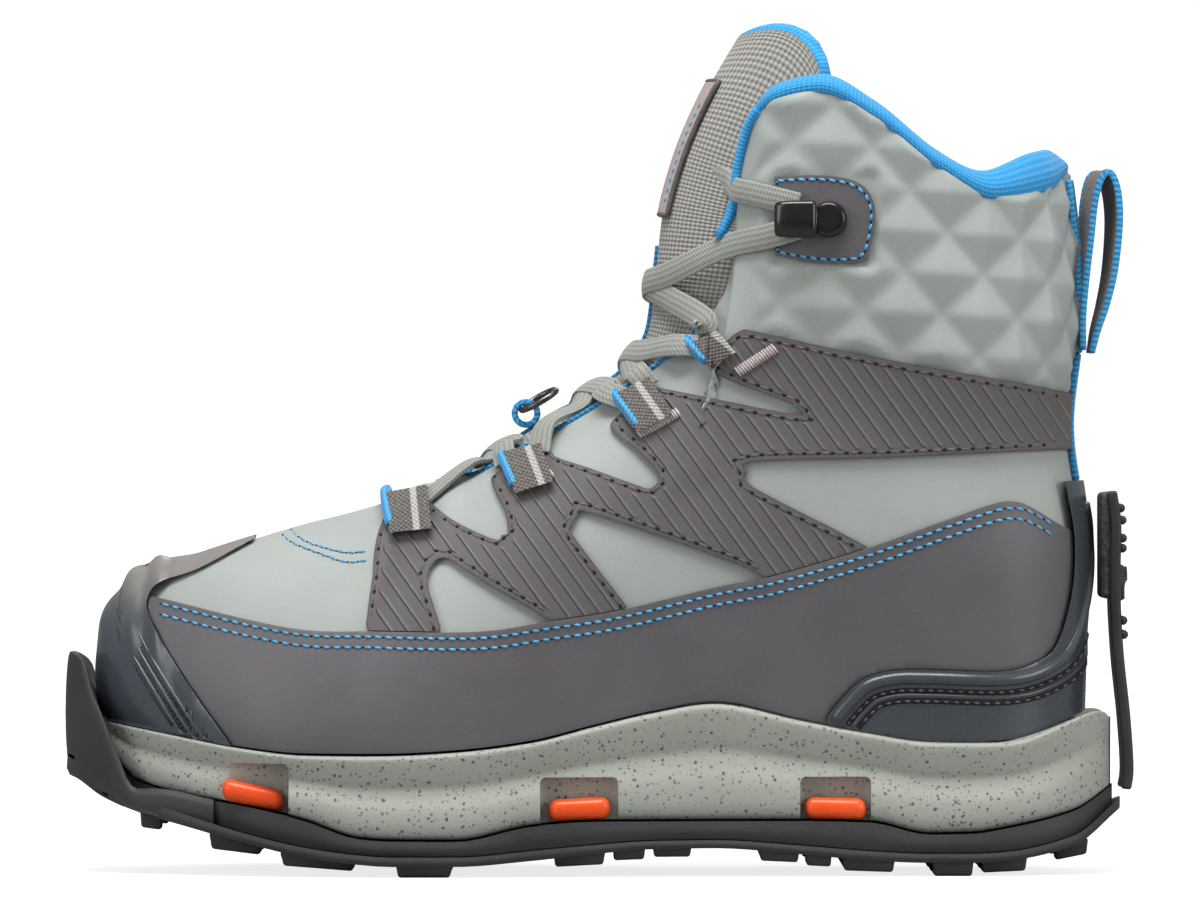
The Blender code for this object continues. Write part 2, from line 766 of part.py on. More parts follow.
def make_midsole(finish):
    midsole = sole_layer(
        "midsole",
        MIDSOLE_ENDS,
        MIDSOLE_INSET,
        lambda x: sole_line("joint", x) + 2 * GAP,
        lambda x: sole_line("top", x),
        MIDSOLE_PROFILE,
        finish,
    )
    footbed = sole_layer(
        "footbed_cutter",
        FOOTBED_ENDS,
        FOOTBED_INSET,
        lambda x: FOOTBED("floor", along_sole(x)) * SOLE_HEIGHT,
        lambda x: sole_line("top", x) + SOLE_HEIGHT / 4,
        ((0.0, 0.0), (0.0, 1.0)),
    )
    boolean(midsole, "DIFFERENCE", footbed)
    for number, (middle, half) in enumerate(WINDOWS, 1):
        x = middle * LENGTH / 2
        reach = half * LENGTH / 2
        low = sole_line("joint", x)
        for side in (OUTER, INNER):
            edge = sole_edge_y(x, side, MIDSOLE_ENDS, MIDSOLE_INSET)
            ys = sorted((edge - side * WINDOW_DEPTH, edge + side * WINDOW_DEPTH))
            cutter = box(
                f"window_cutter_{SIDE_NAMES[side]}_{number}",
                (x - reach, ys[0], low - WINDOW_HEIGHT),
                (x + reach, ys[1], low + WINDOW_HEIGHT),
            )
            boolean(midsole, "DIFFERENCE", cutter)
    return midsole


def make_sole_locks(finish):
    """The lock bars stand on the carrier in the midsole's windows."""
    for number, (middle, half) in enumerate(WINDOWS, 1):
        x = middle * LENGTH / 2
        slope = (sole_line("joint", x + LOCK_LENGTH / 2) - sole_line("joint", x - LOCK_LENGTH / 2)) / LOCK_LENGTH
        for side in (OUTER, INNER):
            edge = sole_edge_y(x, side, MIDSOLE_ENDS, MIDSOLE_INSET)
            middle_y = edge - side * (LOCK_DEPTH / 2 + GAP)
            bar = box(
                f"sole_lock_{SIDE_NAMES[side]}_{number}",
                (x - LOCK_LENGTH / 2, middle_y - LOCK_DEPTH / 2, 0),
                (x + LOCK_LENGTH / 2, middle_y + LOCK_DEPTH / 2, LOCK_HEIGHT),
                finish,
            )
            for vert in bar.data.vertices:
                vert.co.z += sole_line("joint", x) + 2 * GAP + slope * (vert.co.x - x)


def make_carrier(finish):
    return sole_layer(
        "sole_carrier",
        CARRIER_ENDS,
        MIDSOLE_INSET / 2,
        lambda x: sole_line("parting", x) + GAP,
        lambda x: sole_line("joint", x),
        SLAB_PROFILE,
        finish,
        lip=0.0018,
    )


def make_bumper():
    """The outsole's toe bumper, a crescent whose back is cut to the toe cap later."""
    sections = []
    count = 14
    for k in range(count + 1):
        share = 2 * k / count - 1
        side = OUTER if share < 0 else INNER
        turn = 1 - abs(share) * (1 - BUMPER_TURN) * 0.62
        along = turn_to_along(turn)
        outer = plan(along, side, (1, -1), 0)
        top_inner = plan(along, side, (1, -1), BUMPER_INSETS[0])
        top_inner.x += BUMPER_INSETS[0] * max(0, 1 - abs(share) * 2)
        low_inner = plan(along, side, (1, -1), BUMPER_INSETS[1])
        low_inner.x += BUMPER_INSETS[1] * max(0, 1 - abs(share))
        top = BUMPER("top", outer.x / (LENGTH / 2)) * SOLE_HEIGHT
        low = sole_line("base", outer.x)
        top = max(top, low + 0.006)
        waist = plan(along, side, (1, -1), BUMPER_INSETS[0] / 2)
        ring = []
        heights = ((waist, low), (outer, low + 0.35 * (top - low)), (outer, low + 0.8 * (top - low)))
        for point, z in heights + ((top_inner, top), (low_inner, top - 0.4 * (top - low)), (low_inner, low)):
            ring.append(Vector((point.x, point.y, z)))
        sections.append(ring)
    return loft("bumper_form", sections)


def make_outsole(finish, toe_block, carrier_block):
    outsole = sole_layer(
        "outsole",
        OUTSOLE_ENDS,
        0,
        lambda x: sole_line("base", x),
        lambda x: sole_line("parting", x),
        SLAB_PROFILE,
        finish,
        lip=0.0014,
    )
    boolean(outsole, "UNION", make_bumper())
    for cutter in (toe_block, carrier_block):
        boolean(outsole, "DIFFERENCE", cutter)
    for number, (rear, front, middle_too) in enumerate(LUGS, 1):
        xs = (0.5 - front) * LENGTH, (0.5 - rear) * LENGTH
        x = sum(xs) / 2
        bottom = SOLE("tread", (rear + front) / 2) * SOLE_HEIGHT
        spans = []
        for side in (OUTER, INNER):
            edge = min((sole_edge_y(end, side, OUTSOLE_ENDS, 0) * side for end in xs)) - LUG_EDGE
            spans.append(sorted((side * edge, side * edge * (1 - LUG_REACH))))
        if middle_too:
            spans.append((swing(along_sole(x)) - CENTRE_LUG / 2, swing(along_sole(x)) + CENTRE_LUG / 2))
        for place, (low_y, high_y) in enumerate(spans):
            lug = box(f"lug_{number}_{place}", (xs[0], low_y, bottom), (xs[1], high_y, 1), draft=LUG_DRAFT)
            for vert in lug.data.vertices:
                if vert.co.z > 0.5:
                    vert.co.z = sole_line("base", vert.co.x) + LUG_SINK
            boolean(outsole, "UNION", lug)
    return outsole


def make_insole(finish):
    return sole_layer(
        "insole",
        FOOTBED_ENDS,
        FOOTBED_INSET + 0.0005,
        lambda x: FOOTBED("floor", along_sole(x)) * SOLE_HEIGHT + GAP,
        lambda x: FOOTBED("floor", along_sole(x)) * SOLE_HEIGHT + INSOLE_THICK,
        ((0.0, 0.0), (0.4, 1.0)),
        finish,
        lip=0.0015,
    )


def bottom_line():
    """The midsole's top line with its clearance, from toe to heel, the lower edge of every overlay."""
    stations = [k / 16 for k in range(17)]
    return [((s - 0.5) * LENGTH, sole_line("top", (s - 0.5) * LENGTH) + SEAT) for s in stations]


def band_below(edge):
    """The outline of a band between the given edge and the midsole."""
    middle = [point for point in bottom_line() if edge[0][0] < point[0] < edge[-1][0]]
    ends = [(x, sole_line("top", x) + SEAT) for x in (edge[0][0], edge[-1][0])]
    return list(edge) + [ends[1]] + middle[::-1] + [ends[0]]


def make_overlays(finishes):
    half = LENGTH / 2
    cap = shares_to_metres(CAP_EDGE)
    cap_low = sole_line("top", cap[-1][0]) + SEAT
    cap = cap[:-1] + [(cap[-1][0], cap_low)]
    floor = [point for point in bottom_line() if point[0] < cap[-1][0]]
    cap_outline = cap + floor[::-1] + [(-half * 1.1, cap[0][1] * 1.1), (cap[0][0] * 0.97, cap[0][1] * 1.1)]
    counter_outline = band_below(shares_to_metres(COUNTER_EDGE))
    mudguard_outline = band_below(shares_to_metres(MUDGUARD_EDGE))
    wide = BALL_WIDTH
    cap_cutter = prism("cap_cutter", cap_outline, -wide, wide)
    counter_cutter = prism("counter_cutter", counter_outline, -wide, wide)
    cap_room = prism("cap_room", grown(cap_outline, SEAM), -wide, wide)
    counter_room = prism("counter_room", grown(counter_outline, SEAM), -wide, wide)
    mudguard_room = prism("mudguard_room", grown(mudguard_outline, SEAM), -wide, wide)
    cut_from_skin("toe_cap", GAP, MOULDED, cap_cutter, finishes["moulded"])
    cut_from_skin("heel_counter", GAP, MOULDED, counter_cutter, finishes["moulded"], solver="MANIFOLD")
    drop = (cap_room, counter_room)
    cage = shares_to_metres(CAGE_EDGE)
    patch = shares_to_metres(HOOK_PATCH_EDGE)
    over_cage = 3 * GAP + OVERLAY
    for side in (OUTER, INNER):
        name = SIDE_NAMES[side]
        span = sorted((side * (STAY_WIDTH / 2 + GAP), side * wide))
        mudguard_cutter = prism(f"mudguard_cutter_{name}", mudguard_outline, *span)
        cut_from_skin(f"mudguard_{name}", GAP, OVERLAY, mudguard_cutter, finishes["smooth"], drop)
        cage_cutter = prism(f"cage_cutter_{name}", cage, *span)
        cage_name = f"lace_cage_{name}"
        cut_from_skin(cage_name, GAP, OVERLAY, cage_cutter, finishes["overlay"], (mudguard_room,), "MANIFOLD")
        patch_cutter = prism(f"patch_cutter_{name}", patch, *span)
        cut_from_skin(f"hook_patch_{name}", GAP, PATCH_THICK, patch_cutter, finishes["overlay"])
        for number, corners in enumerate(KEEPER_EDGES, 1):
            cutter = prism(f"keeper_cutter_{name}_{number}", shares_to_metres(corners), *span)
            cut_from_skin(f"lace_keeper_{name}_{number}", over_cage, KEEPER_THICK, cutter, finishes["webbing"])
    stay = [
        (0.7 * half, STAY_SPAN[0] * COLLAR_HEIGHT),
        (half, STAY_SPAN[0] * COLLAR_HEIGHT),
        (half, STAY_SPAN[1] * COLLAR_HEIGHT),
        (0.7 * half, STAY_SPAN[1] * COLLAR_HEIGHT),
    ]
    stay_cutter = prism("stay_cutter", stay, -STAY_WIDTH / 2, STAY_WIDTH / 2)
    cut_from_skin("back_stay", GAP, OVERLAY, stay_cutter, finishes["knit"])


def make_lining(finish):
    """The padded roll round the collar, over the edge of the upper and down inside it."""
    sections = []
    last = round(LINING_END * RIBS)
    for k in range(-last, last + 1):
        turn = abs(k) / RIBS
        side = OUTER if k < 0 else INNER
        top = rib_point(turn, side, 1)
        below = rib_point(turn, side, 1 - 0.16)
        out = rib_normal(turn, side, 0.97)
        wall = UPPER_WALL + 2 * GAP
        rim = max(-out.z, 0) * wall * 1.3
        out.z = 0
        out.normalize()
        lift = ROLL("lift", turn) + rim / 2
        pad = ROLL("pad", turn)
        slack = LINING_SLACK * (2.2 - pad)
        under = LINING_UNDER * (4 - 3 * pad)
        deep = wall + slack + LINING * max(pad, 0.25)
        long = LINING_DEPTH * (0.3 + 0.7 * pad)
        down = (below - top).normalized()
        ring = []
        lift = max(lift, under * 1.8)
        shape = (
            (0.0003, under, 0),
            (0.0004, max(lift * 0.6, under * 1.3), 0),
            (0.3 * deep, lift, 0),
            (0.7 * deep, lift * 0.75, 0),
            (deep, 0, long * 0.2),
            (wall + (deep - wall) * 0.8, 0, long),
            (wall + slack, 0, long),
            (wall + slack, under + rim, 0),
        )
        for depth, height, follow in shape:
            point = top - out * depth + Vector((0, 0, height))
            if follow:
                point = top - out * depth + down * follow
            ring.append(point)
        sections.append(ring)
    return loft("collar_lining", sections, finish)


def tongue_frame(at):
    """Centre, tangent and inward direction of the tongue's front line."""

    def place(share):
        return Vector((TONGUE("x", share) * LENGTH / 2, 0, TONGUE("z", share) * TONGUE_TOP))

    tangent = (place(min(at + 0.01, 1)) - place(max(at - 0.01, 0))).normalized()
    centre = place(at)
    centre.y = swing(along_sole(centre.x))
    return centre, tangent, Vector((tangent.z, 0, -tangent.x))


def tongue_point(at, across, off=0.0):
    """A point of the tongue's outer face: across runs from -1 to 1, off is how far above it."""
    centre, tangent, inward = tongue_frame(at)
    half = TONGUE("half", at) * HEEL_WIDTH / 2
    sag = TONGUE("sag", at) * half
    crown = TONGUE_CROWN * max(at - 0.8, 0) / 0.2 * 4 * across**2 * (1 - across**2)
    point = centre + Vector((0, across * half, 0)) + inward * sag * across**2 + tangent * crown
    out = (Vector((0, 2 * across * sag, 0)) - inward * half).normalized()
    return point + out * off


def tongue_sheet(name, ats, width, steps, off, thick, finish):
    """A piece of the tongue's face, off above it and growing inwards by its thickness."""
    bm = bmesh.new()
    bmesh.ops.create_grid(bm, x_segments=steps[0], y_segments=steps[1], size=1)
    for vert in bm.verts:
        at = ats[0] + (ats[1] - ats[0]) * (vert.co.x + 1) / 2
        vert.co = tongue_point(at, vert.co.y * width, off)
    obj = add(name, mesh_of(bm, name, False), finish)
    shell = obj.modifiers.new("Thickness", "SOLIDIFY")
    shell.thickness = thick
    shell.offset = 1 if off > 0 else -1
    shell.use_even_offset = True
    return obj


def make_tongue(finishes):
    tongue_sheet("tongue", (0, 1), 1, TONGUE_STEPS, 0, TONGUE_THICK, finishes["weave"])
    ats, width = PATCH_ON_TONGUE
    tongue_sheet("tongue_patch", ats, width, (7, 4), GAP, PATCH_THICK, finishes["overlay"])


def torus(name, centre, axis, big, small, finish):
    bpy.ops.mesh.primitive_torus_add(
        major_segments=12, minor_segments=5, major_radius=big, minor_radius=small
    )
    obj = bpy.context.object
    for collection in obj.users_collection:
        collection.objects.unlink(obj)
    PARTS.objects.link(obj)
    obj.name = name
    obj.data.materials.append(finish)
    obj.matrix_world = Matrix.Translation(centre) @ axis.to_track_quat("Z", "Y").to_matrix().to_4x4()
    return obj


def make_ring(finishes):
    """A ring on the throat's middle, held by a loop of cord that passes through it."""
    at = RING_AT
    _, tangent, inward = tongue_frame(at)
    centre = tongue_point(at, 0, 0.0062)
    torus("tongue_ring", centre, -inward, RING_RADIUS, RING_WIRE, finishes["metal"])
    cord_centre = centre - tangent * RING_RADIUS
    cord_centre += inward * (0.0062 - CORD_LOOP_RADIUS - CORD_RADIUS - 2 * GAP)
    torus("ring_cord", cord_centre, Vector((0, 1, 0)), CORD_LOOP_RADIUS, CORD_RADIUS, finishes["knit"])


def upper_lookup():
    """Side-view places on the upper: gives the point and the outward normal at x, z on one side."""
    bm = last_grid()
    tree = BVHTree.FromBMesh(bm)
    bm.free()

    def find(x, z, side):
        start = Vector((x, side * BALL_WIDTH, z))
        point, normal, _, _ = tree.ray_cast(start, Vector((0, -side, 0)))
        if normal.y * side < 0:
            normal = -normal
        return point, normal

    return find


def lace_end(level, side, find, leaving):
    """Where the lace comes to a keeper, or to the hook on the top level, and which way is out there."""
    turn, t = LACE_LEVELS[level]
    if turn is None:
        x, z = side_point(HOOK_LACE)
        point, normal = find(x, z, side)
        return point + normal * LACE_OVER_PATCH, normal
    turn += -LACE_APART if leaving else LACE_APART
    normal = rib_normal(turn, side, t)
    return rib_point(turn, side, t) + normal * LACE_OVER_EDGE, normal


def make_laces(finish, find):
    """Each crossing joins two keepers on one side to the next two on the other, over the tongue."""
    for number, (middle, spread, shift, height) in enumerate(LACE_CROSSINGS, 1):
        strips = []
        for order, side in enumerate((OUTER, INNER)):
            clear = height + order * LACE_THICK * LACE_STACK
            low, low_out = lace_end(number - 1, side, find, True)
            high, high_out = lace_end(number, -side, find, False)
            low_quarter = tongue_point(middle - spread, side * shift, clear + 0.0010)
            high_quarter = tongue_point(middle + spread, -side * shift, clear + 0.0010)
            points = [low, low_quarter, tongue_point(middle, 0, clear), high_quarter, high]
            outs = [low_out, None, None, None, high_out]
            for i, at in ((1, middle - spread), (2, middle), (3, middle + spread)):
                across = (side * shift, 0, -side * shift)[i - 1]
                outs[i] = tongue_point(at, across, 1) - tongue_point(at, across, 0)
            if LACE_LEVELS[number][0] is None:
                edge = rib_point(COLLAR_FRONT, -side, 1)
                edge_out = rib_normal(COLLAR_FRONT, -side, 0.99)
                points.insert(4, edge + edge_out * LACE_OVER_EDGE)
                outs.insert(4, edge_out)
            centres = smooth_route(points, 10)
            outs = smooth_route(outs, 10)
            halves = []
            for k, out in enumerate(outs):
                ahead = centres[min(k + 1, 10)] - centres[max(k - 1, 0)]
                halves.append(out.cross(ahead).normalized() * LACE_WIDTH / 2)
            name = f"lace_crossing_{number}" if order == 0 else f"lace_under_{number}"
            strips.append(ribbon(name, centres, halves, LACE_THICK, finish if order == 0 else None))
        boolean(strips[0], "UNION", strips[1])
    for side in (OUTER, INNER):
        places = [find(*side_point(share), side) for share in LACE_TAIL]
        centres = [point + normal * LACE_OVER_PATCH for point, normal in places]
        halves = []
        for k, (_, normal) in enumerate(places):
            ahead = centres[min(k + 1, len(places) - 1)] - centres[max(k - 1, 0)]
            halves.append(normal.cross(ahead).normalized() * LACE_WIDTH / 2)
        ribbon(f"lace_end_{SIDE_NAMES[side]}", centres, halves, LACE_THICK, finish)


def make_hooks(finish, find):
    x, z = side_point(HOOK_AT)
    for side in (OUTER, INNER):
        point, normal = find(x, z, side)
        base = point + normal * (PATCH_THICK + 2 * GAP)
        forward = (Vector((-1, 0, 0)) - normal * -normal.x).normalized()
        up = forward.cross(normal) * side
        place = Matrix((forward, up, normal)).transposed().to_4x4()
        place.translation = base
        name = f"lace_hook_{SIDE_NAMES[side]}"
        bm = bmesh.new()
        bmesh.ops.create_cone(bm, cap_ends=True, segments=14, radius1=0.0054, radius2=0.0050, depth=0.0016)
        bm.transform(place @ Matrix.Translation((0, 0, 0.0008)))
        hook = add(name, mesh_of(bm, name), finish)
        pieces = {
            "post": ((0.0028, -0.0034, 0.0002), (0.0062, 0.0034, 0.0040)),
            "cover": ((0.0020, -0.0048, 0.0032), (0.0142, 0.0048, 0.0052)),
            "rivet": ((-0.0030, -0.0030, 0.0010), (0.0024, 0.0030, 0.0024)),
        }
        for label, (low, high) in pieces.items():
            part = box(f"{name}_{label}", low, high, draft=1.0)
            part.data.transform(place)
            if side == OUTER:
                part.data.flip_normals()
            part.data.update()
            boolean(hook, "UNION", part)


def make_strap(finishes):
    half = LENGTH / 2
    route = smooth_route([(x * half, 0, z * COLLAR_HEIGHT) for x, z in STRAP_ROUTE], 14)
    widths = [Vector((0, STRAP_WIDTH / 2 * (0.8 + 0.2 * abs(2 * k / 14 - 1)), 0)) for k in range(15)]
    ribbon("heel_strap", route, widths, STRAP_THICK, finishes["rubber"])
    z = BUTTON_HEIGHT * COLLAR_HEIGHT
    x = min(route, key=lambda point: abs(point.z - z)).x + STRAP_THICK / 2 + GAP * 1.5
    bm = bmesh.new()
    bmesh.ops.create_cone(
        bm, cap_ends=True, segments=18, radius1=BUTTON_RADIUS, radius2=BUTTON_RADIUS * 0.8, depth=BUTTON_THICK
    )
    bm.transform(Matrix.Translation((x + BUTTON_THICK / 2, 0, z)) @ Matrix.Rotation(radians(90), 4, "Y"))
    add("strap_button", mesh_of(bm, "strap_button"), finishes["rubber"])
    loop = smooth_route([(x * half, 0, z * COLLAR_HEIGHT) for x, z in LOOP_ROUTE], 26)
    ribbon("pull_loop", loop, [Vector((0, LOOP_WIDTH / 2, 0))] * 27, LOOP_THICK, finishes["webbing"])


def main():
    global PARTS, CUTTERS
    for obj in list(bpy.data.objects):
        bpy.data.objects.remove(obj)
    PARTS = bpy.data.collections.new("wading_boot")
    CUTTERS = bpy.data.collections.new("cutters")
    for collection in (PARTS, CUTTERS):
        bpy.context.scene.collection.children.link(collection)
    finishes = {
        "synthetic": material("light_grey_synthetic", (0.38, 0.42, 0.40), 0.6),
        "smooth": material("smooth_grey_synthetic", (0.11, 0.11, 0.12), 0.45),
        "overlay": material("matt_grey_overlay", (0.11, 0.10, 0.10), 0.7),
        "moulded": material("moulded_urethane", (0.05, 0.06, 0.07), 0.25),
        "foam": material("speckled_foam", (0.36, 0.39, 0.34), 0.7),
        "rubber": material("black_rubber", (0.02, 0.02, 0.02), 0.6),
        "lock": material("orange_lock", (1.0, 0.1, 0.01), 0.4),
        "knit": material("blue_knit", (0.03, 0.32, 0.70), 0.8),
        "weave": material("grey_weave", (0.26, 0.26, 0.25), 0.8),
        "webbing": material("grey_webbing", (0.14, 0.13, 0.12), 0.8),
        "lace": material("grey_lace", (0.27, 0.28, 0.26), 0.8),
        "metal": material("gunmetal", (0.20, 0.19, 0.18), 0.3, 1.0),
        "plastic": material("black_acetal", (0.01, 0.01, 0.01), 0.3),
        "board": material("insole_foam", (0.05, 0.05, 0.06), 0.9),
    }
    toe_block = last_block("toe_block", MOULDED + 2 * GAP)
    make_midsole(finishes["foam"])
    make_sole_locks(finishes["lock"])
    make_carrier(finishes["rubber"])
    carrier_block = sole_layer(
        "carrier_block",
        (CARRIER_ENDS[0] + 2 * GAP / LENGTH, MIDSOLE_ENDS[1] - 4 * GAP / LENGTH),
        MIDSOLE_INSET / 2 - GAP,
        lambda x: sole_line("parting", x),
        lambda x: sole_line("top", x) + GAP,
        SLAB_PROFILE,
        lip=0.0008,
    )
    make_outsole(finishes["rubber"], toe_block, carrier_block)
    make_insole(finishes["board"])
    skin("upper", 0, -UPPER_WALL, finishes["synthetic"])
    make_overlays(finishes)
    make_lining(finishes["knit"])
    make_tongue(finishes)
    find = upper_lookup()
    make_ring(finishes)
    make_laces(finishes["lace"], find)
    make_hooks(finishes["plastic"], find)
    make_strap(finishes)
    to_middle = Matrix.Translation((0, -middle_shift(), 0))
    for obj in list(PARTS.objects) + list(CUTTERS.objects):
        obj.matrix_world = to_middle @ obj.matrix_world
    print("pieces:", len(PARTS.objects))


main()
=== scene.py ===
from functools import lru_cache
from math import cos, exp, pi, radians, sin

import bmesh
import bpy
import numpy as np
from mathutils import Matrix, Vector
from mathutils.bvhtree import BVHTree


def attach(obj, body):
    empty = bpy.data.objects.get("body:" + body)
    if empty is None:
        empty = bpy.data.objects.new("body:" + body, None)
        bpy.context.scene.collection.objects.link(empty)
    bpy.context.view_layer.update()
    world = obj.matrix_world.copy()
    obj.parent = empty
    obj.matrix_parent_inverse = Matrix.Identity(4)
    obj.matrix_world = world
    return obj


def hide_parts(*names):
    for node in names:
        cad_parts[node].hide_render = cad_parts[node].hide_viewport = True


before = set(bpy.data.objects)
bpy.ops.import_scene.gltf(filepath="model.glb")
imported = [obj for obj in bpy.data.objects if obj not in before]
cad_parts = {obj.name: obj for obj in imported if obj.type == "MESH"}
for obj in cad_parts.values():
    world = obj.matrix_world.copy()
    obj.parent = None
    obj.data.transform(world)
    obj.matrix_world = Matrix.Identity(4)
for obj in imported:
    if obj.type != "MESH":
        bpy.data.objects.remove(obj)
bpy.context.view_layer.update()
mm = 0.001
outer, inner = -1, 1  # the photographed side is the outer one, at -Y

# camera and light
view = {"width": 0.339, "distance": 3.0, "x": 0.0011, "z": 0.1158}
camera = bpy.data.objects.new("camera", bpy.data.cameras.new("camera"))
camera.data.lens = 36 * view["distance"] / view["width"]
camera.data.clip_end = 50
camera.location = (view["x"], -view["distance"], view["z"])
camera.rotation_euler = (radians(90), 0, 0)
bpy.context.scene.collection.objects.link(camera)
bpy.context.scene.camera = camera
bpy.context.scene.view_settings.view_transform = "Standard"


def addLight(name, place, aim, size, power):
    lamp = bpy.data.lights.new(name, "AREA")
    lamp.shape = "RECTANGLE"
    lamp.size, lamp.size_y = size
    lamp.energy = power
    obj = bpy.data.objects.new(name, lamp)
    obj.location = place
    obj.rotation_euler = (Vector(aim) - Vector(place)).to_track_quat("-Z", "Y").to_euler()
    bpy.context.scene.collection.objects.link(obj)


addLight("topSoftbox", (-0.05, -0.35, 1.20), (0, 0, 0.08), (0.9, 0.5), 16)
addLight("leftSoftbox", (-1.2, -0.9, 0.60), (0, 0, 0.10), (0.7, 1.0), 6.5)
addLight("rightSoftbox", (1.3, -0.7, 0.50), (0, 0, 0.10), (0.6, 0.9), 7.5)
addLight("rearSoftbox", (0.3, 1.3, 0.9), (0, 0, 0.12), (1.0, 0.8), 5)


# materials
def linear(hexText):
    values = [int(hexText[i : i + 2], 16) / 255 for i in (1, 3, 5)]
    return [v / 12.92 if v <= 0.04045 else ((v + 0.055) / 1.055) ** 2.4 for v in values] + [1]


def addNode(tree, kind, inputs=None, **settings):
    node = tree.nodes.new("ShaderNode" + kind)
    for name, value in settings.items():
        setattr(node, name, value)
    for name, value in (inputs or {}).items():
        if isinstance(value, bpy.types.NodeSocket):
            tree.links.new(value, node.inputs[name])
        else:
            node.inputs[name].default_value = value
    return node


# The room is soft grey light, and the camera sees it as white paper.
world = bpy.data.worlds.new("studio")
bpy.context.scene.world = world
world.use_nodes = True
studio = world.node_tree
studio.nodes.clear()
seen = addNode(studio, "LightPath").outputs["Is Camera Ray"]
strength = addNode(studio, "MapRange", {0: seen, 3: 0.28, 4: 1.1})
backdrop = addNode(studio, "Background", {"Color": (1, 1, 1, 1), "Strength": strength.outputs[0]})
addNode(studio, "OutputWorld", {"Surface": backdrop.outputs[0]})


def startMaterial(name, colour, **sockets):
    made = bpy.data.materials.new(name)
    made.use_nodes = True
    tree = made.node_tree
    tree.nodes.clear()
    shader = addNode(tree, "BsdfPrincipled", {"Base Color": linear(colour)})
    for socket, value in sockets.items():
        shader.inputs[socket.replace("_", " ")].default_value = value
    addNode(tree, "OutputMaterial", {"Surface": shader.outputs[0]})
    return made, tree, shader


def finishMaterial(tree, shader, colour=None, roughness=None, height=None, depth=0.1 * mm, strength=1.0):
    # Links what a pattern changes. Height is in shares of the depth.
    if colour is not None:
        tree.links.new(colour, shader.inputs["Base Color"])
    if roughness is not None:
        tree.links.new(roughness, shader.inputs["Roughness"])
    if height is not None:
        bump = addNode(tree, "Bump", {"Height": height, "Strength": strength, "Distance": depth})
        tree.links.new(bump.outputs[0], shader.inputs["Normal"])


def makeGrained(name, dark, light, grain, depth, roughness, patch=30 * mm, **sockets):
    # A slow noise shifts the colour, a fine one gives the grain and breaks up the gloss.
    made, tree, shader = startMaterial(name, light, **sockets)
    place = addNode(tree, "TexCoord").outputs["Object"]
    slow = addNode(tree, "TexNoise", {"Vector": place, "Scale": 1 / patch, "Detail": 3})
    fine = addNode(tree, "TexNoise", {"Vector": place, "Scale": 1 / grain, "Detail": 4, "Roughness": 0.6})
    both = addNode(tree, "Math", {0: slow.outputs[0], 1: fine.outputs[0]}, operation="ADD")
    share = addNode(tree, "MapRange", {0: both.outputs[0], 1: 0.7, 2: 1.3})
    mix = addNode(tree, "Mix", {0: share.outputs[0], 6: linear(dark), 7: linear(light)}, data_type="RGBA")
    gloss = addNode(tree, "MapRange", {0: fine.outputs[0], 1: 0.3, 2: 0.7, 3: roughness[0], 4: roughness[1]})
    finishMaterial(tree, shader, mix.outputs[2], gloss.outputs[0], fine.outputs[0], depth)
    return made


# Coated microfibre: matt, very fine grain, next to no sheen.
lightMicrofibre = makeGrained("lightGreyMicrofibre", "#9BA19D", "#A8AEAA", 0.5 * mm, 0.04 * mm, (0.50, 0.62))
darkMicrofibre = makeGrained("darkGreyMicrofibre", "#565458", "#636164", 0.6 * mm, 0.04 * mm, (0.42, 0.55))
# Moulded thermoplastic urethane: smooth, glossy, with soft scuffs.
mouldedUrethane = makeGrained(
    "mouldedUrethane", "#3B4047", "#42474E", 0.4 * mm, 0.008 * mm, (0.24, 0.32), Coat_Weight=0.2, Coat_Roughness=0.15
)


def makeScuffedAndToplit():
    # The same urethane on the toe: a warm grey on top, partly scuffing and dust, partly painted light from above, and
    # blue-black down the sides.
    made, tree, shader = startMaterial("scuffedAndToplitUrethane", "#3F444B", Coat_Weight=0.2, Coat_Roughness=0.2)
    place = addNode(tree, "TexCoord").outputs["Object"]
    height = addNode(tree, "SeparateXYZ", {0: place}).outputs[2]
    slow = addNode(tree, "TexNoise", {"Vector": place, "Scale": 1 / (14 * mm), "Detail": 2})
    wavy = addNode(tree, "Math", {0: slow.outputs[0], 1: 16 * mm, 2: height}, operation="MULTIPLY_ADD")
    # Lighter towards the top by height: partly dust and scuffs, partly painted top light.
    share = addNode(tree, "MapRange", {0: wavy.outputs[0], 1: 76 * mm, 2: 97 * mm}, interpolation_type="SMOOTHSTEP")
    mix = addNode(tree, "Mix", {0: share.outputs[0], 6: linear("#434A51"), 7: linear("#86827D")}, data_type="RGBA")
    gloss = addNode(tree, "MapRange", {0: share.outputs[0], 3: 0.26, 4: 0.45})
    finishMaterial(tree, shader, mix.outputs[2], gloss.outputs[0])
    return made


scuffedAndToplitUrethane = makeScuffedAndToplit()
# Compression-moulded rubber: black, dusty matt, with a fine grit.
mouldedRubber = makeGrained("mouldedRubber", "#262527", "#383739", 0.8 * mm, 0.08 * mm, (0.50, 0.70))
# Injection-moulded acetal: black and glossy.
blackAcetal = makeGrained("blackAcetal", "#0E0C0B", "#1A1714", 1.0 * mm, 0.01 * mm, (0.16, 0.26), Coat_Weight=0.2)
patchFace = makeGrained("plainPatchFace", "#A4968E", "#B8ABA4", 0.6 * mm, 0.03 * mm, (0.45, 0.6))
orangeNylon = makeGrained("orangeNylon", "#F04A0C", "#FF5F1A", 1.0 * mm, 0.02 * mm, (0.28, 0.38))
gunmetal = makeGrained("gunmetalSteel", "#55524F", "#7A7672", 0.6 * mm, 0.02 * mm, (0.22, 0.38), Metallic=1.0)
insoleFoam = makeGrained("insoleFoam", "#2A2A2D", "#3A3A3E", 0.7 * mm, 0.10 * mm, (0.8, 0.95))


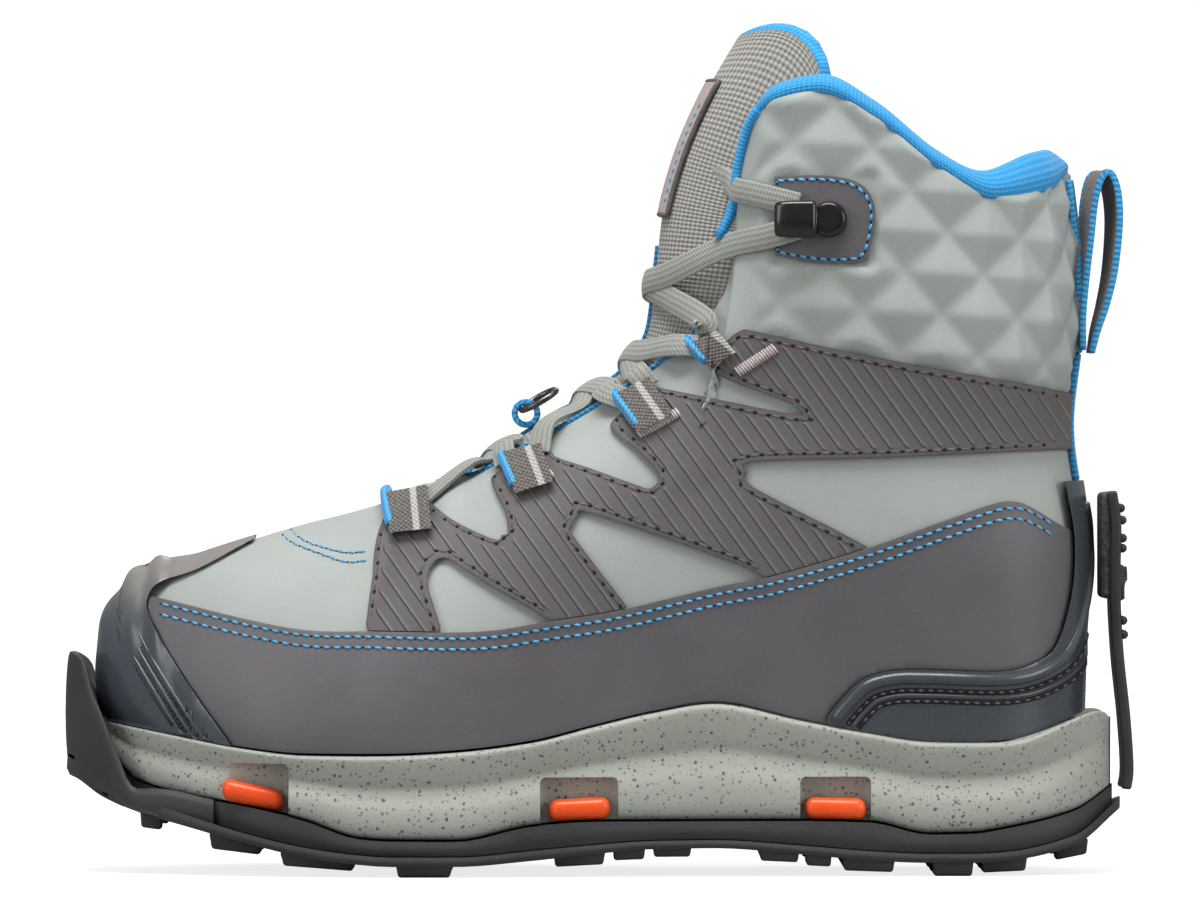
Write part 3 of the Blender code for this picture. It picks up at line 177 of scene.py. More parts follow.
def makeFoam():
    # Expanded foam with coloured granules: sage grey with darker and paler flecks of 0.5 to 1.5 mm.
    made, tree, shader = startMaterial("speckledFoam", "#A3A79D", Roughness=0.62)
    place = addNode(tree, "TexCoord").outputs["Object"]
    warp = addNode(tree, "TexNoise", {"Vector": place, "Scale": 1 / (1.2 * mm), "Detail": 2})
    moved = addNode(tree, "VectorMath", {0: warp.outputs[1], 1: (0.9 * mm, 0.9 * mm, 0.9 * mm)}, operation="MULTIPLY")
    spot = addNode(tree, "VectorMath", {0: place, 1: moved.outputs[0]}, operation="ADD").outputs[0]
    colour = None
    base = addNode(tree, "TexNoise", {"Vector": place, "Scale": 1 / (25 * mm), "Detail": 3})
    colour = addNode(
        tree, "Mix", {0: base.outputs[0], 6: linear("#9CA096"), 7: linear("#ABAFA4")}, data_type="RGBA"
    ).outputs[2]
    for pitch, size, hexText in ((1.5, 0.30, "#6F747B"), (1.0, 0.26, "#7F8387"), (2.4, 0.22, "#555A64")):
        cells = addNode(tree, "TexVoronoi", {"Vector": spot, "Scale": 1 / (pitch * mm)})
        near = addNode(tree, "MapRange", {0: cells.outputs[0], 1: size * 0.75, 2: size, 3: 1, 4: 0})
        some = addNode(tree, "SeparateColor", {0: cells.outputs[1]})
        kept = addNode(tree, "Math", {0: some.outputs[0], 1: 0.5}, operation="GREATER_THAN")
        amount = addNode(tree, "Math", {0: near.outputs[0], 1: kept.outputs[0]}, operation="MULTIPLY")
        colour = addNode(tree, "Mix", {0: amount.outputs[0], 6: colour, 7: linear(hexText)}, data_type="RGBA").outputs[2]
    fine = addNode(tree, "TexNoise", {"Vector": place, "Scale": 1 / (0.8 * mm), "Detail": 3})
    finishMaterial(tree, shader, colour, None, fine.outputs[0], 0.06 * mm)
    return made


speckledFoam = makeFoam()


def makeRibbed():
    # The overlay film is embossed with thin raised lines 3.9 mm apart, 53 degrees down to the right in side view.
    made, tree, shader = startMaterial("ribbedOverlayFilm", "#5F5B5A", Roughness=0.6)
    place = addNode(tree, "TexCoord").outputs["Object"]
    parts = addNode(tree, "SeparateXYZ", {0: place})
    x = addNode(tree, "Math", {0: parts.outputs[0], 1: 2 * cos(radians(36)) / (3.85 * mm)}, operation="MULTIPLY")
    line = addNode(tree, "Math", {0: parts.outputs[2], 1: 2 * sin(radians(36)) / (3.85 * mm), 2: x.outputs[0]}, operation="MULTIPLY_ADD")
    wave = addNode(tree, "Math", {0: line.outputs[0], 1: 1.0}, operation="PINGPONG")
    ridge = addNode(tree, "MapRange", {0: wave.outputs[0], 1: 0.62, 2: 0.95}, interpolation_type="SMOOTHSTEP")
    inset = addNode(tree, "Attribute", attribute_name="inset")
    inside = addNode(tree, "MapRange", {0: inset.outputs["Fac"], 1: 2.2, 2: 3.0}, interpolation_type="SMOOTHSTEP")
    ribs = addNode(tree, "Math", {0: ridge.outputs[0], 1: inside.outputs[0]}, operation="MULTIPLY")
    fine = addNode(tree, "TexNoise", {"Vector": place, "Scale": 1 / (0.5 * mm), "Detail": 3})
    height = addNode(tree, "Math", {0: fine.outputs[0], 1: 0.10, 2: ribs.outputs[0]}, operation="MULTIPLY_ADD")
    shade = addNode(tree, "Mix", {0: fine.outputs[0], 6: linear("#585453"), 7: linear("#64605F")}, data_type="RGBA")
    # The rib crests are painted lighter: a painted highlight along each rib, on top of the bump.
    ribHighlight = addNode(tree, "Math", {0: ribs.outputs[0], 1: 0.55}, operation="MULTIPLY")
    lit = addNode(tree, "Mix", {0: ribHighlight.outputs[0], 6: shade.outputs[2], 7: linear("#7B7B7E")}, data_type="RGBA")
    edge = addNode(tree, "MapRange", {0: inset.outputs["Fac"], 1: 0.1, 2: 0.6, 3: 0.7, 4: 0.0})
    dark = addNode(tree, "Mix", {0: edge.outputs[0], 6: lit.outputs[2], 7: linear("#3E3B3C")}, data_type="RGBA")
    gloss = addNode(tree, "MapRange", {0: ribs.outputs[0], 3: 0.62, 4: 0.42})
    finishMaterial(tree, shader, dark.outputs[2], gloss.outputs[0], height.outputs[0], 0.55 * mm)
    return made


ribbedFilm = makeRibbed()


def makeWoven(name, dark, light, pitch, depth, roughness=0.85, twill=0.0, turned=0.0, flecks=1.2):
    # Crossing threads read from the piece's own map, in millimetres: one runs along it, the other across.
    made, tree, shader = startMaterial(name, light, Roughness=roughness, Sheen_Weight=0.15)
    flat = addNode(tree, "UVMap", uv_map="cloth")
    angle = radians(turned)
    place = addNode(tree, "VectorRotate", {"Vector": flat.outputs[0], "Angle": angle}, rotation_type="Z_AXIS")
    parts = addNode(tree, "SeparateXYZ", {0: place.outputs[0]})
    u = addNode(tree, "Math", {0: parts.outputs[0], 1: pi / pitch[0]}, operation="MULTIPLY")
    lean = addNode(tree, "Math", {0: parts.outputs[1], 1: pi / pitch[1]}, operation="MULTIPLY")
    v = addNode(tree, "Math", {0: u.outputs[0], 1: twill, 2: lean.outputs[0]}, operation="MULTIPLY_ADD")
    one = addNode(tree, "Math", {0: u.outputs[0]}, operation="SINE")
    two = addNode(tree, "Math", {0: v.outputs[0]}, operation="SINE")
    over = addNode(tree, "Math", {0: one.outputs[0], 1: two.outputs[0]}, operation="MULTIPLY")
    fine = addNode(tree, "TexNoise", {"Vector": place.outputs[0], "Scale": 2.2, "Detail": 3})
    both = addNode(tree, "Math", {0: fine.outputs[0], 1: flecks, 2: over.outputs[0]}, operation="MULTIPLY_ADD")
    height = addNode(tree, "MapRange", {0: both.outputs[0], 1: flecks / 2 - 0.9, 2: flecks / 2 + 0.9})
    mix = addNode(tree, "Mix", {0: height.outputs[0], 6: linear(dark), 7: linear(light)}, data_type="RGBA")
    finishMaterial(tree, shader, mix.outputs[2], None, height.outputs[0], depth)
    return made


basketWeave = makeWoven("basketWeave", "#6C6B67", "#B4B2AB", (1.15, 1.15), 0.30 * mm, turned=45)
blueKnit = makeWoven("blueSpacerKnit", "#2380BD", "#38A8E6", (0.8, 0.8), 0.18 * mm, turned=45, flecks=1.6)
flatBraid = makeWoven("flatPolyesterBraid", "#7A7D78", "#A3A59D", (1.0, 0.8), 0.12 * mm, twill=1.0)


def makeStriped():
    # Flecked webbing of two greys, with one white stripe running along it.
    made, tree, shader = startMaterial("stripedWebbing", "#6A6563", Roughness=0.9)
    place = addNode(tree, "UVMap", uv_map="cloth")
    parts = addNode(tree, "SeparateXYZ", {0: place.outputs[0]})
    u = addNode(tree, "Math", {0: parts.outputs[0], 1: pi / 0.75}, operation="MULTIPLY")
    v = addNode(tree, "Math", {0: parts.outputs[1], 1: pi / 0.6}, operation="MULTIPLY")
    one = addNode(tree, "Math", {0: u.outputs[0]}, operation="SINE")
    two = addNode(tree, "Math", {0: v.outputs[0]}, operation="SINE")
    over = addNode(tree, "Math", {0: one.outputs[0], 1: two.outputs[0]}, operation="MULTIPLY")
    fine = addNode(tree, "TexNoise", {"Vector": place.outputs[0], "Scale": 1.1, "Detail": 3})
    both = addNode(tree, "Math", {0: fine.outputs[0], 1: 2.4, 2: over.outputs[0]}, operation="MULTIPLY_ADD")
    height = addNode(tree, "MapRange", {0: both.outputs[0], 1: 0.2, 2: 2.2})
    mix = addNode(tree, "Mix", {0: height.outputs[0], 6: linear("#46413F"), 7: linear("#837D78")}, data_type="RGBA")
    far = addNode(tree, "Math", {0: parts.outputs[0], 1: 7.7}, operation="SUBTRACT")
    away = addNode(tree, "Math", {0: far.outputs[0]}, operation="ABSOLUTE")
    stripe = addNode(tree, "MapRange", {0: away.outputs[0], 1: 0.75, 2: 1.1, 3: 1.0, 4: 0.0})
    some = addNode(tree, "MapRange", {0: height.outputs[0], 3: 0.55, 4: 1.0})
    amount = addNode(tree, "Math", {0: stripe.outputs[0], 1: some.outputs[0]}, operation="MULTIPLY")
    white = addNode(tree, "Mix", {0: amount.outputs[0], 6: mix.outputs[2], 7: linear("#C4C1BB")}, data_type="RGBA")
    finishMaterial(tree, shader, white.outputs[2], None, height.outputs[0], 0.3 * mm)
    return made


stripedWebbing = makeStriped()
meshPad = makeGrained("meshPad", "#1B1A1B", "#6A6663", 1.3 * mm, 0.5 * mm, (0.7, 0.8))
loopWebbing = makeWoven("loopNylonWebbing", "#4B4440", "#837A72", (30.0, 1.1), 0.30 * mm)
blueBraid = makeWoven("blueTwistedBraid", "#1A6DA3", "#4BB8F2", (1.6, 1.0), 0.25 * mm, twill=1.0)
blueThread = makeGrained("blueSewingThread", "#2F95CF", "#62BEEE", 0.5 * mm, 0.05 * mm, (0.5, 0.6))
darkThread = makeGrained("darkSewingThread", "#4A4645", "#75706D", 1.2 * mm, 0.05 * mm, (0.5, 0.6))
blackThread = makeGrained("blackSewingThread", "#141315", "#232224", 0.6 * mm, 0.05 * mm, (0.5, 0.6))
needleHole = makeGrained("needleHoleShadow", "#101012", "#18181B", 1.0 * mm, 0.02 * mm, (0.8, 0.9))
tackThread = makeGrained("pinkishTackThread", "#A99C9C", "#CFC2C1", 0.6 * mm, 0.08 * mm, (0.55, 0.65))
whiteThread = makeGrained("whiteStripeThread", "#C9C7C2", "#EDEBE6", 0.8 * mm, 0.05 * mm, (0.6, 0.7))
print("materials made")

# the last: the same sizes and sections as the solids
last = {
    "length": 0.300,
    "ballWidth": 0.110,
    "heelWidth": 0.080,
    "collarHeight": 0.198,
    "instepHeight": 0.110,
    "soleHeight": 0.048,
    "toeSwing": 0.007,
    "tongueTop": 0.2355,
    "heelRound": 0.15,
    "toeRound": 0.27,
    "roundPower": 2.2,
    "ribs": 24,
    "waistAt": 0.53,
    "waistSpread": 0.17,
    "gap": 0.0003,
    "seat": 0.0009,
}
ends = {"outsole": (0.985, -0.975), "carrier": (0.970, -0.915), "midsole": (0.967, -0.925), "upper": (0.903, -0.903)}
ends["footbed"] = (0.870, -0.868)
insets = {"outsole": 0.0, "carrier": 0.00075, "midsole": 0.0015, "upper": 0.0060, "footbed": 0.0099}
columnNames = {
    "plan": ("heel", "outer", "inner"),
    "sole": ("top", "joint", "parting", "base", "tread"),
}
tables = {
    "plan": [
        (0.00, 1.00, 0.00, 0.00),
        (0.14, 1.00, 0.00, 0.00),
        (0.30, 0.75, 0.22, 0.17),
        (0.45, 0.30, 0.60, 0.48),
        (0.60, 0.00, 0.95, 0.88),
        (0.70, 0.00, 1.00, 1.00),
        (0.80, 0.00, 0.97, 1.00),
        (0.90, 0.00, 0.87, 0.93),
        (1.00, 0.00, 0.75, 0.82),
    ],
    "sole": [
        (0.000, 1.040, 0.550, 0.460, 0.400, 0.290),
        (0.010, 1.030, 0.530, 0.430, 0.370, 0.240),
        (0.055, 0.905, 0.370, 0.230, 0.172, 0.105),
        (0.120, 0.773, 0.273, 0.140, 0.088, 0.025),
        (0.150, 0.771, 0.245, 0.130, 0.078, 0.000),
        (0.190, 0.775, 0.240, 0.130, 0.078, 0.000),
        (0.245, 0.825, 0.310, 0.146, 0.092, 0.027),
        (0.310, 0.900, 0.320, 0.180, 0.129, 0.071),
        (0.390, 1.000, 0.320, 0.212, 0.165, 0.121),
        (0.450, 0.942, 0.320, 0.208, 0.160, 0.108),
        (0.500, 0.869, 0.320, 0.188, 0.135, 0.077),
        (0.560, 0.775, 0.292, 0.154, 0.096, 0.033),
        (0.630, 0.720, 0.206, 0.117, 0.063, 0.000),
        (0.690, 0.700, 0.208, 0.117, 0.063, 0.000),
        (0.720, 0.698, 0.221, 0.129, 0.075, 0.025),
        (0.770, 0.700, 0.323, 0.171, 0.117, 0.060),
        (0.830, 0.738, 0.408, 0.256, 0.202, 0.133),
        (0.880, 0.792, 0.458, 0.350, 0.283, 0.208),
        (0.930, 0.848, 0.542, 0.458, 0.367, 0.292),
        (0.960, 0.879, 0.708, 0.573, 0.438, 0.365),
        (1.000, 0.917, 0.792, 0.667, 0.563, 0.500),
    ],
    "footbed": [(0.00, 0.68), (0.12, 0.65), (0.35, 0.69), (0.50, 0.65), (0.70, 0.575), (0.85, 0.615), (1.00, 0.76)],
    "rib": [
    (0.000, 0.881, 1.000, 0.000, 0.00, 0.045, 0.42, 0.215, 0.42, 0.120),
    (0.100, 0.850, 0.977, 0.000, 0.44, 0.050, 0.42, 0.190, 0.42, 0.110),
    (0.200, 0.740, 0.961, 0.000, 0.82, 0.065, 0.42, 0.120, 0.42, 0.085),
    (0.270, 0.635, 1.003, 0.000, 0.93, 0.070, 0.42, 0.090, 0.42, 0.075),
    (0.330, 0.515, 1.074, 0.000, 0.95, 0.070, 0.42, 0.075, 0.45, 0.070),
    (0.380, 0.415, 1.110, 0.000, 0.92, 0.065, 0.42, 0.060, 0.48, 0.065),
    (0.415, 0.330, 1.097, 0.000, 0.84, 0.060, 0.42, 0.060, 0.50, 0.060),
    (0.440, 0.288, 1.062, 0.000, 0.77, 0.055, 0.42, 0.080, 0.50, 0.050),
    (0.465, 0.262, 0.986, 0.000, 0.71, 0.050, 0.41, 0.120, 0.46, 0.035),
    (0.485, 0.245, 0.909, 0.000, 0.68, 0.050, 0.40, 0.170, 0.40, 0.020),
    (0.500, 0.245, 0.832, 0.000, 0.65, 0.050, 0.40, 0.220, 0.34, 0.010),
    (0.515, 0.222, 0.500, 0.518, 0.61, 0.050, 0.40, 0.270, 0.28, 0.000),
    (0.545, 0.113, 0.300, 0.756, 0.56, 0.045, 0.39, 0.340, 0.19, 0.000),
    (0.580, -0.006, 0.150, 0.916, 0.51, 0.045, 0.37, 0.400, 0.13, 0.000),
    (0.610, -0.133, 0.050, 0.997, 0.45, 0.045, 0.35, 0.470, 0.09, 0.000),
    (0.635, -0.243, 0.000, 1.014, 0.34, 0.045, 0.34, 0.560, 0.05, 0.000),
    (0.655, -0.297, 0.000, 0.998, 0.16, 0.045, 0.33, 0.660, 0.02, 0.000),
    (0.670, -0.323, 0.000, 0.994, 0.00, 0.045, 0.32, 0.700, 0.00, 0.000),
    (0.700, -0.405, 0.000, 0.941, 0.00, 0.050, 0.31, 0.720, 0.00, 0.000),
    (0.760, -0.547, 0.000, 0.888, 0.00, 0.065, 0.30, 0.720, 0.00, 0.000),
    (0.820, -0.665, 0.000, 0.838, 0.00, 0.100, 0.27, 0.640, 0.00, 0.000),
    (0.880, -0.735, 0.000, 0.808, 0.00, 0.150, 0.25, 0.520, 0.01, 0.000),
    (0.940, -0.785, 0.000, 0.790, 0.00, 0.200, 0.23, 0.420, 0.02, 0.000),
    (1.000, -0.812, 0.000, 0.780, 0.00, 0.240, 0.22, 0.380, 0.02, 0.000),
],
    "bumper": [(-1.000, 1.29), (-0.970, 1.24), (-0.950, 1.06), (-0.925, 0.90), (-0.900, 0.72), (-0.860, 0.50)],
    "tongue": [
        (0.00, -0.370, 0.405, 0.46, 0.42),
        (0.10, -0.240, 0.476, 0.54, 0.54),
        (0.20, -0.125, 0.527, 0.58, 0.64),
        (0.30, -0.010, 0.571, 0.60, 0.70),
        (0.38, 0.062, 0.607, 0.60, 0.74),
        (0.46, 0.100, 0.652, 0.58, 0.82),
        (0.56, 0.112, 0.715, 0.56, 0.95),
        (0.66, 0.124, 0.783, 0.55, 1.08),
        (0.77, 0.152, 0.852, 0.57, 1.12),
        (0.88, 0.200, 0.925, 0.62, 1.10),
        (1.00, 0.268, 1.000, 0.66, 1.03),
    ],
    "roll": [
        (0.00, 0.0040, 1.0),
        (0.07, 0.0080, 1.0),
        (0.13, 0.0095, 1.0),
        (0.20, 0.0065, 1.0),
        (0.27, 0.0040, 1.0),
        (0.36, 0.0038, 0.7),
        (0.42, 0.0036, 0.35),
        (0.48, 0.0034, 0.2),
    ],
}
capEdge = [
    (-0.643, 0.4815),
    (-0.751, 0.437),
    (-0.819, 0.413),
    (-0.842, 0.389),
    (-0.836, 0.362),
    (-0.793, 0.309),
    (-0.669, 0.179),
]
mudguardEdge = [
    (-1.000, 0.418),
    (-0.838, 0.393),
    (-0.573, 0.349),
    (-0.412, 0.3445),
    (-0.218, 0.3445),
    (-0.085, 0.359),
    (0.045, 0.3745),
    (0.219, 0.406),
    (0.333, 0.423),
    (0.507, 0.462),
    (0.622, 0.493),
    (0.736, 0.523),
    (0.778, 0.527),
    (0.812, 0.5185),
    (0.895, 0.484),
    (1.000, 0.465),
]
counterEdge = [
    (0.429, 0.224),
    (0.461, 0.253),
    (0.497, 0.2775),
    (0.552, 0.289),
    (0.620, 0.290),
    (0.757, 0.2875),
    (0.825, 0.302),
    (0.8625, 0.329),
    (0.890, 0.400),
    (0.895, 0.476),
    (0.880, 0.545),
    (0.885, 0.556),
    (1.000, 0.556),
]
cageEdge = [
    (-0.369, 0.533),
    (-0.397, 0.503),
    (-0.411, 0.470),
    (-0.416, 0.422),
    (-0.418, 0.330),
    (-0.292, 0.330),
    (-0.311, 0.404),
    (-0.311, 0.427),
    (-0.298, 0.444),
    (-0.277, 0.447),
    (-0.250, 0.434),
    (-0.185, 0.404),
    (-0.085, 0.359),
    (-0.060, 0.330),
    (0.075, 0.345),
    (0.062, 0.374),
    (0.009, 0.427),
    (-0.043, 0.480),
    (-0.047, 0.490),
    (-0.034, 0.506),
    (-0.008, 0.511),
    (0.234, 0.447),
    (0.305, 0.423),
    (0.360, 0.400),
    (0.507, 0.440),
    (0.507, 0.462),
    (0.294, 0.546),
    (0.281, 0.567),
    (0.294, 0.584),
    (0.535, 0.5885),
    (0.889, 0.601),
    (1.000, 0.603),
    (1.000, 0.676),
    (0.889, 0.681),
    (0.795, 0.694),
    (0.622, 0.7155),
    (0.448, 0.741),
    (0.305, 0.765),
    (0.269, 0.768),
    (0.235, 0.747),
    (0.213, 0.724),
    (0.235, 0.7025),
    (0.356, 0.667),
    (0.373, 0.658),
    (0.365, 0.650),
    (0.132, 0.6855),
    (0.100, 0.6855),
    (0.043, 0.650),
    (0.026, 0.634),
    (0.040, 0.621),
    (0.073, 0.601),
    (0.109, 0.574),
    (0.117, 0.5585),
    (0.100, 0.5455),
    (0.073, 0.551),
    (-0.011, 0.574),
    (-0.077, 0.591),
    (-0.095, 0.610),
    (-0.150, 0.595),
    (-0.184, 0.5685),
    (-0.196, 0.5585),
    (-0.184, 0.5355),
    (-0.168, 0.510),
    (-0.164, 0.483),
    (-0.175, 0.480),
    (-0.184, 0.473),
    (-0.228, 0.486),
    (-0.271, 0.503),
    (-0.305, 0.523),
    (-0.330, 0.540),
]
hookPatchEdge = [
    (0.331, 0.975),
    (0.345, 0.984),
    (0.420, 0.986),
    (0.480, 0.978),
    (0.510, 0.958),
    (0.519, 0.925),
    (0.508, 0.880),
    (0.494, 0.864),
    (0.420, 0.862),
    (0.345, 0.872),
    (0.331, 0.884),
]
keeperEdges = [
    [(-0.394, 0.540), (-0.316, 0.551), (-0.307, 0.497), (-0.386, 0.491)],
    [(-0.179, 0.597), (-0.104, 0.610), (-0.083, 0.563), (-0.153, 0.547)],
    [(0.030, 0.677), (0.098, 0.704), (0.136, 0.657), (0.072, 0.631)],
    [(0.166, 0.747), (0.224, 0.768), (0.252, 0.742), (0.205, 0.722)],
]


def slopeAt(rows, i, c):
    if i in (0, len(rows) - 1):
        return 0.0
    before = (rows[i][c] - rows[i - 1][c]) / (rows[i][0] - rows[i - 1][0])
    after = (rows[i + 1][c] - rows[i][c]) / (rows[i + 1][0] - rows[i][0])
    return 0.0 if before * after <= 0 else 2 * before * after / (before + after)


@lru_cache(maxsize=None)
def readTable(name, at):
    rows = tables[name]
    at = min(max(at, rows[0][0]), rows[-1][0])
    i = max(k for k in range(len(rows) - 1) if rows[k][0] <= at or k == 0)
    span = rows[i + 1][0] - rows[i][0]
    t = (at - rows[i][0]) / span
    found = []
    for c in range(1, len(rows[0])):
        low, high = slopeAt(rows, i, c) * span, slopeAt(rows, i + 1, c) * span
        a, b = rows[i][c], rows[i + 1][c]
        found.append(a + t * (low + t * (3 * (b - a) - 2 * low - high + t * (2 * (a - b) + low + high))))
    return found


def alongSole(x):
    return 0.5 - x / last["length"]


def soleLine(line, x):
    return readTable("sole", alongSole(x))[columnNames["sole"].index(line)] * last["soleHeight"]


def endRound(share):
    power = last["roundPower"]
    return 1.0 if share >= 1 else max(1 - (1 - share) ** power, 0.0) ** (1 / power)


def halfWidth(along, side, inset):
    ofHeel, ofOuter, ofInner = readTable("plan", along)
    ofBall = ofOuter if side == outer else ofInner
    half = ofHeel * last["heelWidth"] / 2 + ofBall * last["ballWidth"] / 2 - inset
    return half * endRound(along / last["heelRound"]) * endRound((1 - along) / last["toeRound"])


def swing(along):
    t = min(max((along - 0.45) / 0.55, 0.0), 1.0)
    return last["toeSwing"] * t * t * (3 - 2 * t)


reach = {side: max(side * swing(k / 200) + halfWidth(k / 200, side, 0) for k in range(201)) for side in (outer, inner)}
middleShift = (reach[inner] - reach[outer]) / 2


def middleLine(along):
    return swing(along) - middleShift


def planPoint(along, side, layer, inset=None):
    heel, toe = (end * last["length"] / 2 for end in ends[layer])
    inset = insets[layer] if inset is None else inset
    return Vector((heel + (toe - heel) * along, side * halfWidth(along, side, inset) + middleLine(along), 0))


def turnToAlong(turn):
    return (1 - cos(pi * turn)) / 2


@lru_cache(maxsize=None)
def outward(turn, side, layer):
    step = 0.004
    if turn < step or turn > 1 - step:
        return Vector((1 if turn < 0.5 else -1, 0, 0))
    before = planPoint(turnToAlong(turn - step), side, layer)
    tangent = planPoint(turnToAlong(turn + step), side, layer) - before
    return Vector((-tangent.y, tangent.x, 0)).normalized() * -side


@lru_cache(maxsize=None)
def ribHandles(turn, side):
    topX, collar, instep, halfY, reachOut, rise, lean, drop, waist = readTable("rib", turn)
    foot = planPoint(turnToAlong(turn), side, "upper")
    foot.z = soleLine("top", foot.x) + last["seat"]
    height = collar * last["collarHeight"] + instep * last["instepHeight"]
    half = last["heelWidth"] / 2
    topX *= last["length"] / 2
    top = Vector((topX, side * halfY * half + middleLine(alongSole(topX)), height))
    out = outward(turn, side, "upper")
    climb = height - foot.z
    first = foot + out * reachOut * half + Vector((0, 0, rise * climb))
    high = top + out * lean * half - Vector((0, 0, drop * climb))
    return foot, first, high, top, out * waist * half


def ribCurve(turn, side, t):
    foot, first, high, top, waist = ribHandles(round(turn, 6), side)
    s = 1 - t
    point = foot * s**3 + first * 3 * s * s * t + high * 3 * s * t * t + top * t**3
    return point - waist * exp(-(((t - last["waistAt"]) / last["waistSpread"]) ** 2))


def fade(value, low, high):
    t = min(max((value - low) / (high - low), 0.0), 1.0)
    return t * t * (3 - 2 * t)


@lru_cache(maxsize=None)
def cornerRibs(side):
    # Heights, lengths and widths along the two ribs on either side of the throat's corner.
    return [np.array([ribCurve(turn, side, k / 60) for k in range(61)]).T for turn in (0.415, 0.545)]


def ribPoint(turn, side, t):
    # Close ribs would cross at the collar's front edge, so there the sheet runs smoothly from rib to rib of the solid.
    place = turn * last["ribs"]
    k = int(place)
    if not 11 <= place < 13:
        point = ribCurve(turn, side, t)
    else:
        s = place - k
        a, b, c, d = (ribCurve((k + i) / last["ribs"], side, t) for i in (-1, 0, 1, 2))
        point = (2 * b + (c - a) * s + (2 * a - 5 * b + 4 * c - d) * s * s + (3 * b - a - 3 * c + d) * s**3) / 2
    if not 0.415 < turn < 0.545 or t < 0.4:
        return point
    rear, front = cornerRibs(side)
    x, z = point.x, point.z
    xs = [float(np.interp(z, rib[2], rib[0])) for rib in (rear, front)]
    ys = [float(np.interp(z, rib[2], rib[1])) for rib in (rear, front)]
    share = min(max((xs[0] - x) / (xs[0] - xs[1]), 0.0), 1.0)
    smooth = ys[0] + (ys[1] - ys[0]) * share * share * (1.6 - 0.6 * share)
    weight = min(1.0, 4 * min(share, 1 - share)) * fade(z, 104 * mm, 116 * mm) * fade(z, 152 * mm, 141 * mm)
    point.y += (smooth - point.y) * weight
    return point


def ribNormal(turn, side, t):
    step = 0.01
    ahead = ribPoint(min(turn + step, 1.0), side, t) - ribPoint(max(turn - step, 0.0), side, t)
    climb = ribPoint(turn, side, min(t + step, 1.0)) - ribPoint(turn, side, max(t - step, 0.0))
    if turn == 0:
        ahead = Vector((0, side, 0))
    return ahead.cross(climb).normalized() * side


def wholeTurn(x):
    return abs(x), outer if x < 0 else inner


def toeTurn(x):
    return 1 - abs(x) ** 0.75 * 0.34, outer if x > 0 else inner  # the ribs crowd at the tip


def heelTurn(x):
    return abs(x) * 0.42, outer if x < 0 else inner


def lastGrid(columns, rows, place=wholeTurn):
    # One sheet over the last, evenly ruled along its ribs.
    bm = bmesh.new()
    bmesh.ops.create_grid(bm, x_segments=columns, y_segments=rows, size=1)
    for vert in bm.verts:
        turn, side = place(vert.co.x)
        vert.co = ribPoint(turn, side, (vert.co.y + 1) / 2)
    bmesh.ops.remove_doubles(bm, verts=bm.verts, dist=1e-6)
    bm.normal_update()
    return bm


# shared ways to make and finish a piece
def addPiece(name, bm, finish, slotName, nodes=()):
    mesh = bpy.data.meshes.new(name)
    bm.to_mesh(mesh)
    bm.free()
    for material in finish if isinstance(finish, (list, tuple)) else [finish]:
        mesh.materials.append(material)
    mesh.shade_smooth()
    obj = bpy.data.objects.new(name, mesh)
    bpy.context.scene.collection.objects.link(obj)
    if slotName:
        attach(obj, "root")
        if nodes:
            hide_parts(*nodes)
    return obj


def applyModifiers(obj):
    bpy.context.view_layer.update()
    graph = bpy.context.evaluated_depsgraph_get()
    made = bpy.data.meshes.new_from_object(obj.evaluated_get(graph))
    obj.modifiers.clear()
    old = obj.data
    obj.data = made
    made.name = obj.name
    bpy.data.meshes.remove(old)


def thicken(obj, thick, apply=True):
    shell = obj.modifiers.new("wall", "SOLIDIFY")
    shell.thickness = thick
    shell.offset = -1
    if apply:
        applyModifiers(obj)


def carve(obj, cutters, operation="DIFFERENCE"):
    # The quick solver leaves a mesh as it was where it can't cut it, and then the exact one does it.
    for cutter in cutters:
        before = len(obj.data.polygons)
        for way in ("MANIFOLD", "EXACT"):
            cut = obj.modifiers.new("cut", "BOOLEAN")
            cut.operation, cut.solver, cut.object = operation, way, cutter
            applyModifiers(obj)
            if len(obj.data.polygons) != before:
                break
            print(f"{obj.name} was left as it was by {way}")


def softenEdges(obj, width, segments=2, angle=45):
    edge = obj.modifiers.new("edge", "BEVEL")
    edge.width = width
    edge.segments = segments
    edge.limit_method = "ANGLE"
    edge.angle_limit = radians(angle)
    applyModifiers(obj)


def smoothSharp(obj, angle=40):
    obj.data.shade_smooth()
    obj.data.set_sharp_from_angle(angle=radians(angle))


def smoothLine(points, steps=4, closed=False):
    # A curve through every point.
    points = [Vector(point) for point in points]
    count = len(points)
    if closed:
        ring = [points[-1]] + points + points[:2]
        spans = count
    else:
        ring = [2 * points[0] - points[1]] + points + [2 * points[-1] - points[-2]]
        spans = count - 1
    line = []
    for i in range(spans):
        a, b, c, d = ring[i : i + 4]
        for k in range(steps):
            t = k / steps
            line.append((2 * b + (c - a) * t + (2 * a - 5 * b + 4 * c - d) * t * t + (3 * b - a - 3 * c + d) * t**3) / 2)
    if not closed:
        line.append(points[-1])
    return line


def evenSteps(line, pitch):
    # Walks along a line and stops at every pitch.
    stops, carried = [line[0]], 0.0
    for a, b in zip(line, line[1:]):
        length = (b - a).length
        while length > 0 and carried + length >= pitch:
            a = a + (b - a) * ((pitch - carried) / length)
            length = (b - a).length
            carried = 0.0
            stops.append(a)
        carried += length
    return stops


def toMetres(outline):
    return [Vector((x * last["length"] / 2, z * last["collarHeight"])) for x, z in outline]


def photoPoint(px, py):
    # A place of the side view, from a pixel of the photograph.
    return Vector(((px - 596) * 0.2825 * mm, (870.5 - py) * 0.2825 * mm))


